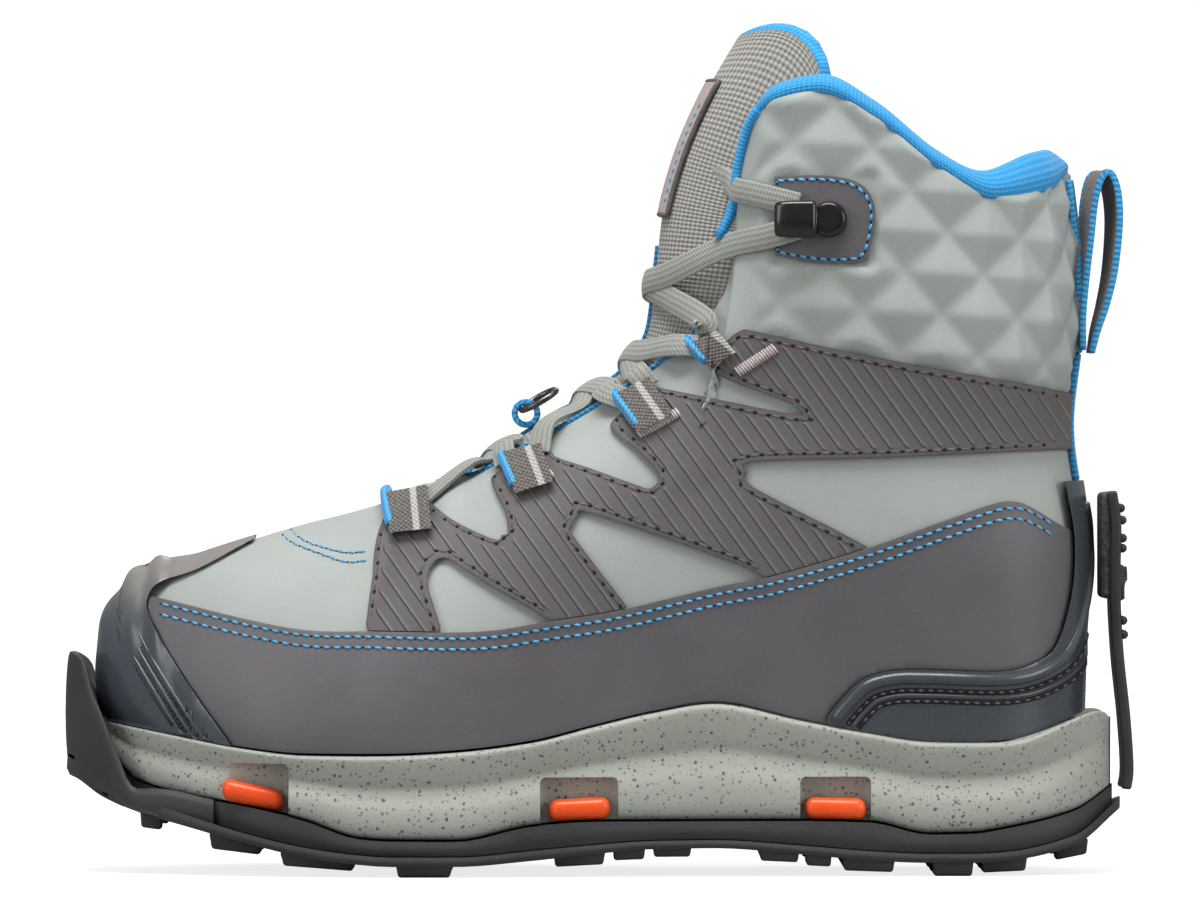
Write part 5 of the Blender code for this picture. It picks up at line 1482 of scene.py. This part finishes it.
def makeInsole():
    rows = [("footbed", insets["footbed"], footbedHeight(0.3 * mm)), ("footbed", insets["footbed"], footbedHeight(3.0 * mm))]
    rows += [("footbed", insets["footbed"] + 1.5 * mm, footbedHeight(4.0 * mm))]
    obj = makeSoleBand("insoleBoard", rows, insoleFoam, "insole_foam", ("insole",), 120)
    smoothSharp(obj, 50)


makeMidsole()
makeLocks()
makeCarrier()
makeOutsole()
makeInsole()
print("sole made")

# tongue and collar
tongue = {"thick": 6.0 * mm, "crown": 7.8 * mm, "columns": 120, "rows": 36, "patch": ((0.665, 0.905), 0.30)}


def tonguePlace(share):
    x, z, half, sag = readTable("tongue", share)
    return Vector((x * last["length"] / 2, 0, z * last["tongueTop"]))


def tonguePoint(at, across, off=0.0):
    tangent = (tonguePlace(min(at + 0.01, 1)) - tonguePlace(max(at - 0.01, 0))).normalized()
    centre = tonguePlace(at)
    centre.y = middleLine(alongSole(centre.x))
    back = Vector((tangent.z, 0, -tangent.x))
    _, _, wide, sag = readTable("tongue", at)
    half = wide * last["heelWidth"] / 2
    sag *= half
    crown = tongue["crown"] * max(at - 0.8, 0) / 0.2 * 4 * across**2 * (1 - across**2)
    point = centre + Vector((0, across * half, 0)) + back * sag * across**2 + tangent * crown
    out = (Vector((0, 2 * across * sag, 0)) - back * half).normalized()
    return point + out * off


def makeTongueSheet(name, ats, width, steps, off, thick, finish, slotName, nodes):
    bm = bmesh.new()
    uv = bm.loops.layers.uv.new("cloth")
    bmesh.ops.create_grid(bm, x_segments=steps[0], y_segments=steps[1], size=1)
    where = {}
    for vert in bm.verts:
        at = ats[0] + (ats[1] - ats[0]) * (vert.co.x + 1) / 2
        across = vert.co.y * width
        _, _, wide, sag = readTable("tongue", round(at, 6))
        half = wide * last["heelWidth"] / 2 / mm
        where[vert.index] = (at * 205, across * half * (1 + 0.5 * sag * abs(across)))
        vert.co = tonguePoint(at, across, off)
    for face in bm.faces:
        for loop in face.loops:
            loop[uv].uv = where[loop.vert.index]
    bm.normal_update()
    middle = min(bm.verts, key=lambda vert: abs(vert.co.y + middleShift) + abs(vert.co.z - 0.19))
    if middle.normal.x > 0:
        bmesh.ops.reverse_faces(bm, faces=bm.faces)
    obj = addPiece(name, bm, finish, slotName, nodes)
    thicken(obj, thick)
    return obj


def makeTongue():
    steps = (tongue["columns"], tongue["rows"])
    obj = makeTongueSheet("tonguePad", (0, 1), 1, steps, 0, tongue["thick"], basketWeave, "grey_weave", ("tongue",))
    softenEdges(obj, 1.8 * mm, 4, 50)
    smoothSharp(obj, 60)
    ats, wide = tongue["patch"]
    patch = makeTongueSheet(
        "tonguePatch", ats, wide, (40, 16), 1.5 * mm, 1.2 * mm, patchFace, "matt_grey_overlay", ("tongue_patch",)
    )
    softenEdges(patch, 0.3 * mm)
    smoothSharp(patch, 60)
    # its rim, a dark bound edge, with a line of blue stitches inside it
    rim = [(ats[0] + (ats[1] - ats[0]) * k / 24, -wide) for k in range(25)]
    rim += [(ats[1], wide * (k / 8 - 1)) for k in range(1, 16)]
    rim += [(at, wide) for at, _ in rim[24::-1]]
    rim += [(ats[0], wide * (1 - k / 8)) for k in range(1, 16)]
    line = smoothLine([tonguePoint(at, across, 0.9 * mm) for at, across in rim], 1, closed=True)
    layTube("patchRim", line, 0.8 * mm, darkThread, "matt_grey_overlay", closed=True)
    parts = [bmesh.new(), bmesh.new()]
    for part, side in zip(parts, (outer, inner)):
        line = [tonguePoint(ats[0] + 0.02 + (ats[1] - ats[0] - 0.04) * k / 40, side * (wide - 0.07), 1.6 * mm) for k in range(41)]
        for one, two in zip(evenSteps(line, 2.8 * mm), evenSteps(line, 2.8 * mm)[1:]):
            out = Vector((-0.9, side * 0.3, 0.1)).normalized()
            addStitch(part, (one + two) / 2, two - one, out, (2.0 * mm, 0.8 * mm, 0.7 * mm))
    joinMeshes("tonguePatchSewing", parts, blueThread, "blue_knit")


def tongueEdge(across, inset, off):
    # A line up one side of the tongue, over its top and down the other side.
    ups = [(0.60 + 0.36 * k / 20, -across) for k in range(21)]
    turn = [(0.96 + 0.04 * sin(pi / 2 * k / 6), -across + (across - 0.62) * (1 - cos(pi / 2 * k / 6))) for k in range(1, 7)]
    flat = [(1.0, -0.62 + 1.24 * k / 16) for k in range(1, 17)]
    line = ups + turn + flat
    line += [(at, -side) for at, side in (ups + turn)[::-1]]
    return [tonguePoint(at, side, off) for at, side in line]


def makeTonguePiping():
    # Knit binding round the tongue's rim, half a roll proud of the weave.
    line = tongueEdge(0.985, 0, -3.2 * mm)
    layTube("tonguePiping", line, 3.1 * mm, blueKnit, "blue_knit", around=16)
    # The braid along the ridge of the tongue, which shows between the laces.
    ridge = [tonguePoint(0.06 + 0.55 * k / 60, 0.06, 0.4 * mm) for k in range(61)]
    layTube("tongueRidgeBraid", ridge, 0.7 * mm, blueBraid, "blue_knit", around=12)


def rollRing(turn, side):
    # Section of the padded collar: over the wall's edge and down inside it.
    top, below = ribPoint(turn, side, 1), ribPoint(turn, side, 0.84)
    out = ribNormal(turn, side, 0.97)
    lift, pad = readTable("roll", turn)
    wall = 2.8 * mm
    rim = max(-out.z, 0) * wall * 1.3
    out.z = 0
    out.normalize()
    lift += rim / 2
    slack = 1.2 * mm * (2.2 - pad)
    under = 0.6 * mm * (4 - 3 * pad)
    deep = wall + slack + 5.5 * mm * max(pad, 0.25)
    long = 22 * mm * (0.3 + 0.7 * pad)
    down = (below - top).normalized()
    lift = max(lift, under * 1.8)
    shape = [
        (-0.4 * mm, -1.6 * mm, 0),
        (-0.9 * mm, lift * 0.35, 0),
        (0.3 * deep, lift, 0),
        (0.7 * deep, lift * 0.75, 0),
        (deep, 0, long * 0.2),
        (wall + (deep - wall) * 0.8, 0, long),
        (wall + slack, 0, long),
        (wall * 0.5, -0.5 * mm, 0),
    ]
    ring = []
    for depth, height, follow in shape:
        point = top - out * depth + (down * follow if follow else Vector((0, 0, height)))
        ring.append(point)
    return smoothLine(ring, 4, closed=True)


def makeCollar():
    bm = bmesh.new()
    around = 32
    columns = 160
    bmesh.ops.create_grid(bm, x_segments=columns, y_segments=around, size=1)
    end = 0.445
    rings = {}
    where = {}
    uv = bm.loops.layers.uv.new("cloth")
    for vert in bm.verts:
        k = round((vert.co.x + 1) / 2 * columns)
        if k not in rings:
            turn = abs(vert.co.x) * end
            rings[k] = rollRing(turn, outer if vert.co.x < 0 else inner)
        step = round((vert.co.y + 1) / 2 * around)
        where[vert.index] = (k * 1.7, step * 1.0)
        vert.co = rings[k][step % around]
    for face in bm.faces:
        for loop in face.loops:
            loop[uv].uv = where[loop.vert.index]
    bmesh.ops.remove_doubles(bm, verts=bm.verts, dist=1e-6)
    bmesh.ops.holes_fill(bm, edges=[edge for edge in bm.edges if edge.is_boundary], sides=0)
    bmesh.ops.recalc_face_normals(bm, faces=bm.faces)
    obj = addPiece("collarRoll", bm, blueKnit, "blue_knit", ("collar_lining",))


def makeFrontBinding():
    # The knit binding runs on down the collar's front edge, over its corner, to the notch.
    for side, word in ((outer, "Outer"), (inner, "Inner")):
        turns = [0.43 + (0.485 - 0.43) * k / 24 for k in range(25)]
        line = [ribPoint(turn, side, 1) for turn in turns]
        line = [point + ribNormal(turn, side, 0.98) * 0.3 * mm for point, turn in zip(line, turns)]
        for k in range(18, 25):  # its lower end leans forward into the notch
            line[k].x -= (k - 17) ** 2 / 49 * 4.5 * mm
            line[k].z += (k - 17) / 7 * 1.0 * mm
        layTube(f"frontBinding{word}", line, 1.5 * mm, blueKnit, "blue_knit", around=12)
        # Thinner braid along the throat.
        turns = [0.515 + (0.655 - 0.515) * k / 60 for k in range(61)]
        line = [ribPoint(turn, side, 1) + ribNormal(turn, side, 0.98) * 0.2 * mm for turn in turns]
        layTube(f"throatBraid{word}", line, 0.7 * mm, blueBraid, "blue_knit", around=12)


makeTongue()
makeTonguePiping()
makeCollar()
makeFrontBinding()
print("tongue and collar made")

# laces
laceSize = {"width": 7 * mm, "thick": 1.6 * mm, "apart": 0.009, "overEdge": 5.1 * mm, "overPatch": 2.6 * mm, "stack": 0.55}
laceLevels = [(0.640, 0.985), (0.607, 0.985), (0.562, 0.985), (0.524, 0.985), (None, None)]
laceCrossings = [(0.150, 0.022, 0.45, 1.3), (0.300, 0.024, 0.45, 2.0), (0.395, 0.022, 0.50, 2.0), (0.540, 0.022, 0.55, 2.0)]
laceTail = [(0.330, 0.9500), (0.305, 0.9560), (0.280, 0.9620)]


def laceStop(level, side, leaving):
    turn, t = laceLevels[level]
    if turn is None:
        point, normal = onUpper(0.325 * last["length"] / 2, 0.900 * last["collarHeight"], side)
        return point + normal * laceSize["overPatch"], normal
    turn += -laceSize["apart"] if leaving else laceSize["apart"]
    normal = ribNormal(turn, side, t)
    return ribPoint(turn, side, t) + normal * laceSize["overEdge"], normal


def underWeb(px, py, side, lift):
    place = photoPoint(px, py)
    point, out = onUpper(place.x, place.y, side)
    return point + out * lift * mm, out


leaves = [(424, 506), (541, 458), (651, 392), (708, 338)]  # where each strand leaves its keeper, and where it comes to one
comes = [(510, 468), (628, 404), (700, 350), (797, 231)]


def makeLaces():
    for number, (middle, spread, shift, height) in enumerate(laceCrossings, 1):
        for order, side in enumerate((outer, inner)):
            clear = height * mm + order * laceSize["thick"] * laceSize["stack"]
            low, lowOut = laceStop(number - 1, side, True)
            high, highOut = laceStop(number, -side, False)
            start, startOut = underWeb(*leaves[number - 1], side, 2.0)
            stop, stopOut = underWeb(*comes[number - 1], -side, 2.0 if number < 4 else 3.2)
            spots = [(middle - spread, side * shift), (middle, 0), (middle + spread, -side * shift)]
            lifts = (clear + 1.0 * mm, clear, clear + 1.0 * mm)
            points = [start, low - lowOut * 1.2 * mm]
            points += [tonguePoint(*spot, lift) for spot, lift in zip(spots, lifts)]
            outs = [startOut, lowOut] + [tonguePoint(*spot, 1) - tonguePoint(*spot) for spot in spots]
            if laceLevels[number][0] is None:
                edge = ribNormal(0.487, -side, 0.99)
                points.append(ribPoint(0.487, -side, 1) + edge * 3.4 * mm)
                outs.append(edge)
            points += [high - highOut * (1.2 * mm if laceLevels[number][0] else 0), stop]
            outs += [highOut, stopOut]
            nodes = (f"lace_crossing_{number}",) if order == 0 else ()
            name = f"laceStrip{number}{'AB'[order]}"
            centres, outs = smoothLine(points, 12), smoothLine(outs, 12)
            layStrip(name, centres, outs, laceSize["width"], laceSize["thick"], flatBraid, "grey_lace", nodes)
    for side, word in ((outer, "outer"), (inner, "inner")):
        places = [(798, 209, 3.2), (775, 203, 2.4), (752, 197, 2.2), (738, 193, 1.8)]
        found = [underWeb(px, py, side, lift) for px, py, lift in places]
        tucked = tonguePoint(0.755, side * 0.80, 0.6 * mm)
        points = [point for point, _ in found] + [tucked, tonguePoint(0.762, side * 0.62, -1.0 * mm)]
        outs = [out for _, out in found] + [found[-1][1]] * 2
        name, node = f"laceEnd{word.title()}", f"lace_end_{word}"
        centres, outs = smoothLine(points, 8), smoothLine(outs, 8)
        layStrip(name, centres, outs, laceSize["width"], laceSize["thick"], flatBraid, "grey_lace", (node,))
    # The lowest strand lies straight across the bottom of the throat.
    ends = [underWeb(398, 506, side, 2.2) for side in (outer, inner)]
    spots = [tonguePoint(0.055, across) for across in (-0.75, -0.35, 0, 0.35, 0.75)]
    ups = [(tonguePoint(0.055, across, 1) - tonguePoint(0.055, across)).normalized() for across in (-0.75, -0.35, 0, 0.35, 0.75)]
    points = [ends[0][0]] + [spot + up * 2.4 * mm for spot, up in zip(spots, ups)] + [ends[1][0]]
    outs = [ends[0][1]] + ups + [ends[1][1]]
    centres, outs = smoothLine(points, 8), smoothLine(outs, 8)
    layStrip("laceStripLow", centres, outs, laceSize["width"] * 0.9, laceSize["thick"], flatBraid, "grey_lace")


def makeHooks():
    for side, word in ((outer, "outer"), (inner, "inner")):
        point, normal = onUpper(0.436 * last["length"] / 2, 0.9235 * last["collarHeight"], side)
        base = point + normal * 1.6 * mm
        forward = (Vector((-1, 0, 0)) - normal * -normal.x).normalized()
        up = forward.cross(normal) * side
        place = Matrix((forward, up, normal)).transposed().to_4x4()
        place.translation = base
        bm = bmesh.new()
        # base lug round the rivet
        bmesh.ops.create_cone(bm, cap_ends=True, segments=48, radius1=5.3 * mm, radius2=4.6 * mm, depth=3.2 * mm)
        bmesh.ops.translate(bm, verts=bm.verts, vec=(0.3 * mm, 0, 1.6 * mm))
        rims = [edge for edge in bm.edges if edge.is_manifold and edge.calc_face_angle() > 0.6]
        bmesh.ops.bevel(bm, geom=rims, offset=0.8 * mm, affect="EDGES", segments=4, profile=0.5, material=-1)
        # rivet: a raised ring with a sunk face
        for radius, high, deep in ((3.7, 3.9, 2.0), (2.9, 4.1, 1.6)):
            made = bmesh.ops.create_cone(
                bm, cap_ends=True, segments=40, radius1=radius * mm, radius2=(radius - 0.35) * mm, depth=deep * mm
            )
            bmesh.ops.translate(bm, verts=made["verts"], vec=(0.3 * mm, 0, (high - deep / 2) * mm))
        # neck and cover plate, which bulges and turns down at its free end
        makeBlock(bm, (5.4 * mm, 0, 2.4 * mm), (4.6 * mm, 6.4 * mm, 3.6 * mm), 1.0 * mm, segments=3)
        cover = bmesh.new()
        makeBlock(cover, (0, 0, 0), (11.8 * mm, 10.4 * mm, 2.6 * mm), 1.25 * mm, segments=5)
        bmesh.ops.subdivide_edges(cover, edges=[e for e in cover.edges if e.calc_length() > 5 * mm], cuts=9, use_grid_fill=True)
        for vert in cover.verts:
            x, y, z = vert.co / mm
            bulge = 1 - 0.5 * (y / 5.2) ** 2 - 0.35 * (x / 5.9) ** 2
            vert.co.z = (z * (0.7 + 0.3 * bulge) + 0.9 * bulge - 0.020 * max(x - 0.5, 0) ** 2) * mm
            vert.co.y *= 1 - 0.10 * max(x / 5.9, 0) ** 2
        bmesh.ops.translate(cover, verts=cover.verts, vec=(9.4 * mm, 0, 4.3 * mm))
        part = bpy.data.meshes.new("part")
        cover.to_mesh(part)
        cover.free()
        bm.from_mesh(part)
        bpy.data.meshes.remove(part)
        bm.transform(place)
        if place.determinant() < 0:
            bmesh.ops.reverse_faces(bm, faces=bm.faces)
        hook = addPiece(f"laceHook{word.title()}", bm, blackAcetal, "black_plastic", (f"lace_hook_{word}",))
        smoothSharp(hook, 40)


def makeRing():
    at = 0.232
    tangent = (tonguePlace(at + 0.01) - tonguePlace(at - 0.01)).normalized()
    back = Vector((tangent.z, 0, -tangent.x))
    centre = tonguePoint(at, 0, 6.2 * mm)
    sideways = Vector((0, 1, 0)) - back * 0.17
    angles = [2 * pi * k / 48 for k in range(48)]
    line = [centre + tangent * cos(a) * 5.6 * mm + sideways * sin(a) * 4.6 * mm for a in angles]
    layTube("tongueRing", line, 0.9 * mm, gunmetal, "gunmetal", ("tongue_ring",), 16, closed=True)
    centre = centre - tangent * 5.0 * mm + back * (6.2 - 3.2 - 0.9 - 0.6) * mm
    line = [centre + (tangent * cos(a) + back * sin(a)) * 3.2 * mm for a in (2 * pi * k / 40 for k in range(40))]
    layTube("ringCord", line, 0.9 * mm, blueBraid, "blue_knit", ("ring_cord",), 16, closed=True)


makeLaces()
makeHooks()
makeRing()
print("laces made")

# strap, loop, stay
strapRoute = [
    (0.985, 0.119),
    (0.9893, 0.150),
    (0.983, 0.222),
    (0.972, 0.300),
    (0.966, 0.370),
    (0.965, 0.430),
    (0.966, 0.495),
    (0.958, 0.540),
]
loopRoute = [
    (0.914, 0.742),
    (0.914, 0.790),
    (0.921, 0.850),
    (0.929, 0.900),
    (0.936, 0.950),
    (0.948, 0.985),
    (0.965, 0.994),
    (0.979, 0.970),
    (0.983, 0.925),
    (0.974, 0.857),
    (0.958, 0.806),
    (0.942, 0.771),
    (0.930, 0.738),
]


def sideRoute(route, steps):
    half = last["length"] / 2
    return smoothLine([(x * half, -middleShift, z * last["collarHeight"]) for x, z in route], steps)


def squareOut(line):
    # Outwards is square to the line in side view, away from the boot.
    outs = []
    for k in range(len(line)):
        ahead = (line[min(k + 1, len(line) - 1)] - line[max(k - 1, 0)]).normalized()
        outs.append(Vector((ahead.z, 0, -ahead.x)))
    return outs


def makeStrap():
    line = sideRoute(strapRoute, 8)
    count = len(line) - 1
    width = [24 * mm * (0.8 + 0.2 * abs(2 * k / count - 1)) for k in range(count + 1)]
    shifted = [point + out * 1.6 * mm for point, out in zip(line, squareOut(line))]
    layStrip("heelStrap", shifted, squareOut(line), width, 3.2 * mm, mouldedRubber, "black_rubber", ("heel_strap",), 0.2, 10)
    z = 0.411 * last["collarHeight"]
    x = min(line, key=lambda point: abs(point.z - z)).x + 2.05 * mm
    bm = bmesh.new()
    bmesh.ops.create_cone(bm, cap_ends=True, segments=40, radius1=5.8 * mm, radius2=4.6 * mm, depth=2.4 * mm)
    bm.transform(Matrix.Translation((x + 1.2 * mm, -middleShift, z)) @ Matrix.Rotation(radians(90), 4, "Y"))
    bmesh.ops.bevel(
        bm, geom=[e for e in bm.edges if e.is_manifold and e.calc_face_angle() > 0.5], offset=0.5 * mm, affect="EDGES",
        segments=2, profile=0.5, material=-1
    )
    smoothSharp(addPiece("strapButton", bm, mouldedRubber, "black_rubber", ("strap_button",)), 40)
    makeLoop()
    makeStrapNubs()


def makeLoop():
    # Webbing loop, turned a little so that its ribbed face shows, with a twisted cord along both edges.
    line = sideRoute(loopRoute, 6)
    count = len(line) - 1
    wide = 15 * mm
    near, far = [], []
    for k, point in enumerate(line):
        lean = 3.2 * mm * sin(pi * min(max(k / count, 0.0), 1.0))
        near.append(point + Vector((0, -wide / 2, 0)))
        far.append(point + Vector((-lean, wide / 2, 0)))
    centres = [(a + b) / 2 for a, b in zip(near, far)]
    outs = []
    for k, (a, b) in enumerate(zip(near, far)):
        ahead = centres[min(k + 1, count)] - centres[max(k - 1, 0)]
        outs.append((b - a).cross(ahead).normalized() * -1)
    layStrip("pullLoop", centres, outs, wide, 1.4 * mm, loopWebbing, "grey_webbing", ("pull_loop",), 0.1, 12)
    for name, edge in (("loopCordOuter", near), ("loopCordInner", far)):
        layTube(name, edge, 0.95 * mm, blueBraid, "blue_knit", around=12)


def makeStrapNubs():
    # Grip nubs on the strap's outer face above and below the button, and the meshed pad inside its head.
    bm = bmesh.new()
    route = sideRoute(strapRoute, 8)
    for px, py in ((1120, 508), (1121, 520), (1119, 538), (1118, 548), (1117, 620), (1117, 634)):
        spot = photoPoint(px, py)
        near = min(route, key=lambda point: abs(point.z - spot.y))
        for y in (-6.5, -2.2, 2.2, 6.5):
            turned = Matrix.Translation((near.x + 3.3 * mm, y * mm - middleShift, spot.y))
            bmesh.ops.create_uvsphere(bm, u_segments=12, v_segments=8, radius=1.3 * mm, matrix=turned)
    addPiece("strapNubs", bm, mouldedRubber, "black_rubber")
    bm = bmesh.new()
    spot = photoPoint(1104, 545)
    makeBlock(bm, (spot.x, -middleShift, spot.y), (3.6 * mm, 19 * mm, 30 * mm), 1.5 * mm, -0.05, segments=3)
    addPiece("strapPad", bm, meshPad, "black_rubber")


def makeStay():
    # The braid up the back seam, from the counter to the foot of the loop, and its upper end up to the collar.
    levels = np.linspace(0.556, 0.985, 60)
    centres = []
    for z in levels * last["collarHeight"]:
        low, high = 0.0, 1.0
        for _ in range(24):
            t = (low + high) / 2
            low, high = (t, high) if ribPoint(0, outer, t).z < z else (low, t)
        centres.append(ribPoint(0, outer, round(t, 5)) + Vector((0.9 * mm, 0, 0)))
    outs = [Vector((1, 0, 0))] * len(centres)
    nodes = ("back_stay",)
    layStrip("backStay", centres[:26], outs[:26], 10 * mm, 2.2 * mm, blueBraid, "blue_knit", nodes, 0.3, 8)
    layStrip("backBraid", centres[25:], outs[25:], 8 * mm, 2.6 * mm, blueBraid, "blue_knit", (), 0.3, 8)


makeStrap()
makeStay()
print("strap and loop made")


# sewing
def aboveMudguard(x, z):
    return z > lineHeight(mudguardLine, x) + 1.2 * mm


def layPiping(name, outline, count, inset, lift, radius, finish, slotName, keep):
    # A raised line on the sheet, beside its edge.
    row = evenSteps(grow(outline, -inset)[:count], 1.5 * mm)
    for side, word in ((outer, "Outer"), (inner, "Inner")):
        found = [onUpper(stop.x, stop.y, side) for stop in row if keep(stop.x, stop.y)]
        line = [point + out * lift for point, out in found if point is not None]
        layTube(f"{name}{word}", line, radius, finish, slotName, around=12)


def onCap(x, z):
    return z < 86 * mm and z > soleLine("top", x) + 1 * mm


def onCounter(x, z):
    return x < 137.2 * mm and soleLine("top", x) + 1 * mm < z < 104 * mm


def makeTrim():
    count = len(capLine)
    for number, inset in enumerate((4.1, 6.2, 8.3), 1):
        layPiping(f"capPiping{number}", capOutline, count, inset * mm, 1.95 * mm, 0.5 * mm, mouldedUrethane, "moulded_urethane", onCap)
    rows = [grow(capOutline, -inset * mm)[:count] for inset in (5.15, 7.25, 9.35)]
    size = dict(darkStitch, pitch=2.7 * mm, hole=0.8 * mm)
    sewRows("capSewing", rows, [blackThread, needleHole], "moulded_urethane", size, 2.1 * mm, keep=onCap)
    count = len(smoothLine(toMetres(counterEdge), 6))
    layPiping("counterRim", counterOutline, count, 2.2 * mm, 2.2 * mm, 1.9 * mm, mouldedUrethane, "moulded_urethane", onCounter)
    # The two stitch channels: thin near-black tubes of painted shade where the grooves lie.
    for number, inset in enumerate((5.6, 8.6), 1):
        name = f"counterChannel{number}"
        layPiping(name, counterOutline, count, inset * mm, 2.1 * mm, 0.85 * mm, needleHole, "moulded_urethane", onCounter)
    layPiping("counterPiping", counterOutline, count, 7.1 * mm, 2.5 * mm, 0.65 * mm, mouldedUrethane, "moulded_urethane", onCounter)
    rows = [grow(counterOutline, -inset * mm)[:count] for inset in (5.6, 8.6)]
    sewRows("counterSewing", rows, [darkThread, needleHole], "moulded_urethane", size, 2.9 * mm, keep=onCounter)


def makeSewing():
    rows = [grow(cageOutline, -1.55 * mm)]
    threads = [darkThread, needleHole]
    sewRows("cageSewing", rows, threads, "matt_grey_overlay", darkStitch, 1.5 * mm, keep=aboveMudguard)
    rows = [[p - Vector((0, gap)) for p in mudguardLine] for gap in (2.1 * mm, 5.0 * mm)]

    def onMudguard(x, z):
        return -0.122 < x < 0.1275

    sewRows("mudguardSewing", rows, [blueThread, needleHole], "blue_knit", blueStitch, 1.55 * mm, keep=onMudguard)
    rows = [grow(patchOutline, -1.2 * mm)]
    small = dict(blueStitch, pitch=2.8 * mm, hole=0.8 * mm)
    sewRows("patchSewing", rows, [blueThread, needleHole], "blue_knit", small, 1.35 * mm)
    double = (
        ((292, 530), (305, 540), (328.5, 548), (352, 552.4), (374, 549.5)),
        ((283.8, 535), (295, 543), (322, 553), (348.5, 561.4), (374, 559)),
    )
    rows = [smoothLine([photoPoint(*place) for place in row], 6) for row in double]
    sewRows("vampSewing", rows, [blueThread, needleHole], "blue_knit", dict(blueStitch, wide=0.7 * mm), 0.1 * mm)


makeSewing()
makeTrim()
print("sewing made")

# floor
bm = bmesh.new()
bmesh.ops.create_grid(bm, x_segments=1, y_segments=1, size=12)
# White paper, lit up where the camera looks at it and not where it would light the boot.
paper, tree, shader = startMaterial("whitePaper", "#9A9A9A", Roughness=0.9, Emission_Color=(1, 1, 1, 1))
seen = addNode(tree, "LightPath").outputs["Is Camera Ray"]
away = addNode(tree, "VectorMath", {0: addNode(tree, "TexCoord").outputs["Object"]}, operation="LENGTH")
paler = addNode(tree, "MapRange", {0: away.outputs["Value"], 1: 0.2, 2: 0.5, 3: 0.80, 4: 1.1})
glow = addNode(tree, "Math", {0: seen, 1: paler.outputs[0]}, operation="MULTIPLY")
tree.links.new(glow.outputs[0], shader.inputs["Emission Strength"])
floor = addPiece("floor", bm, paper, None)
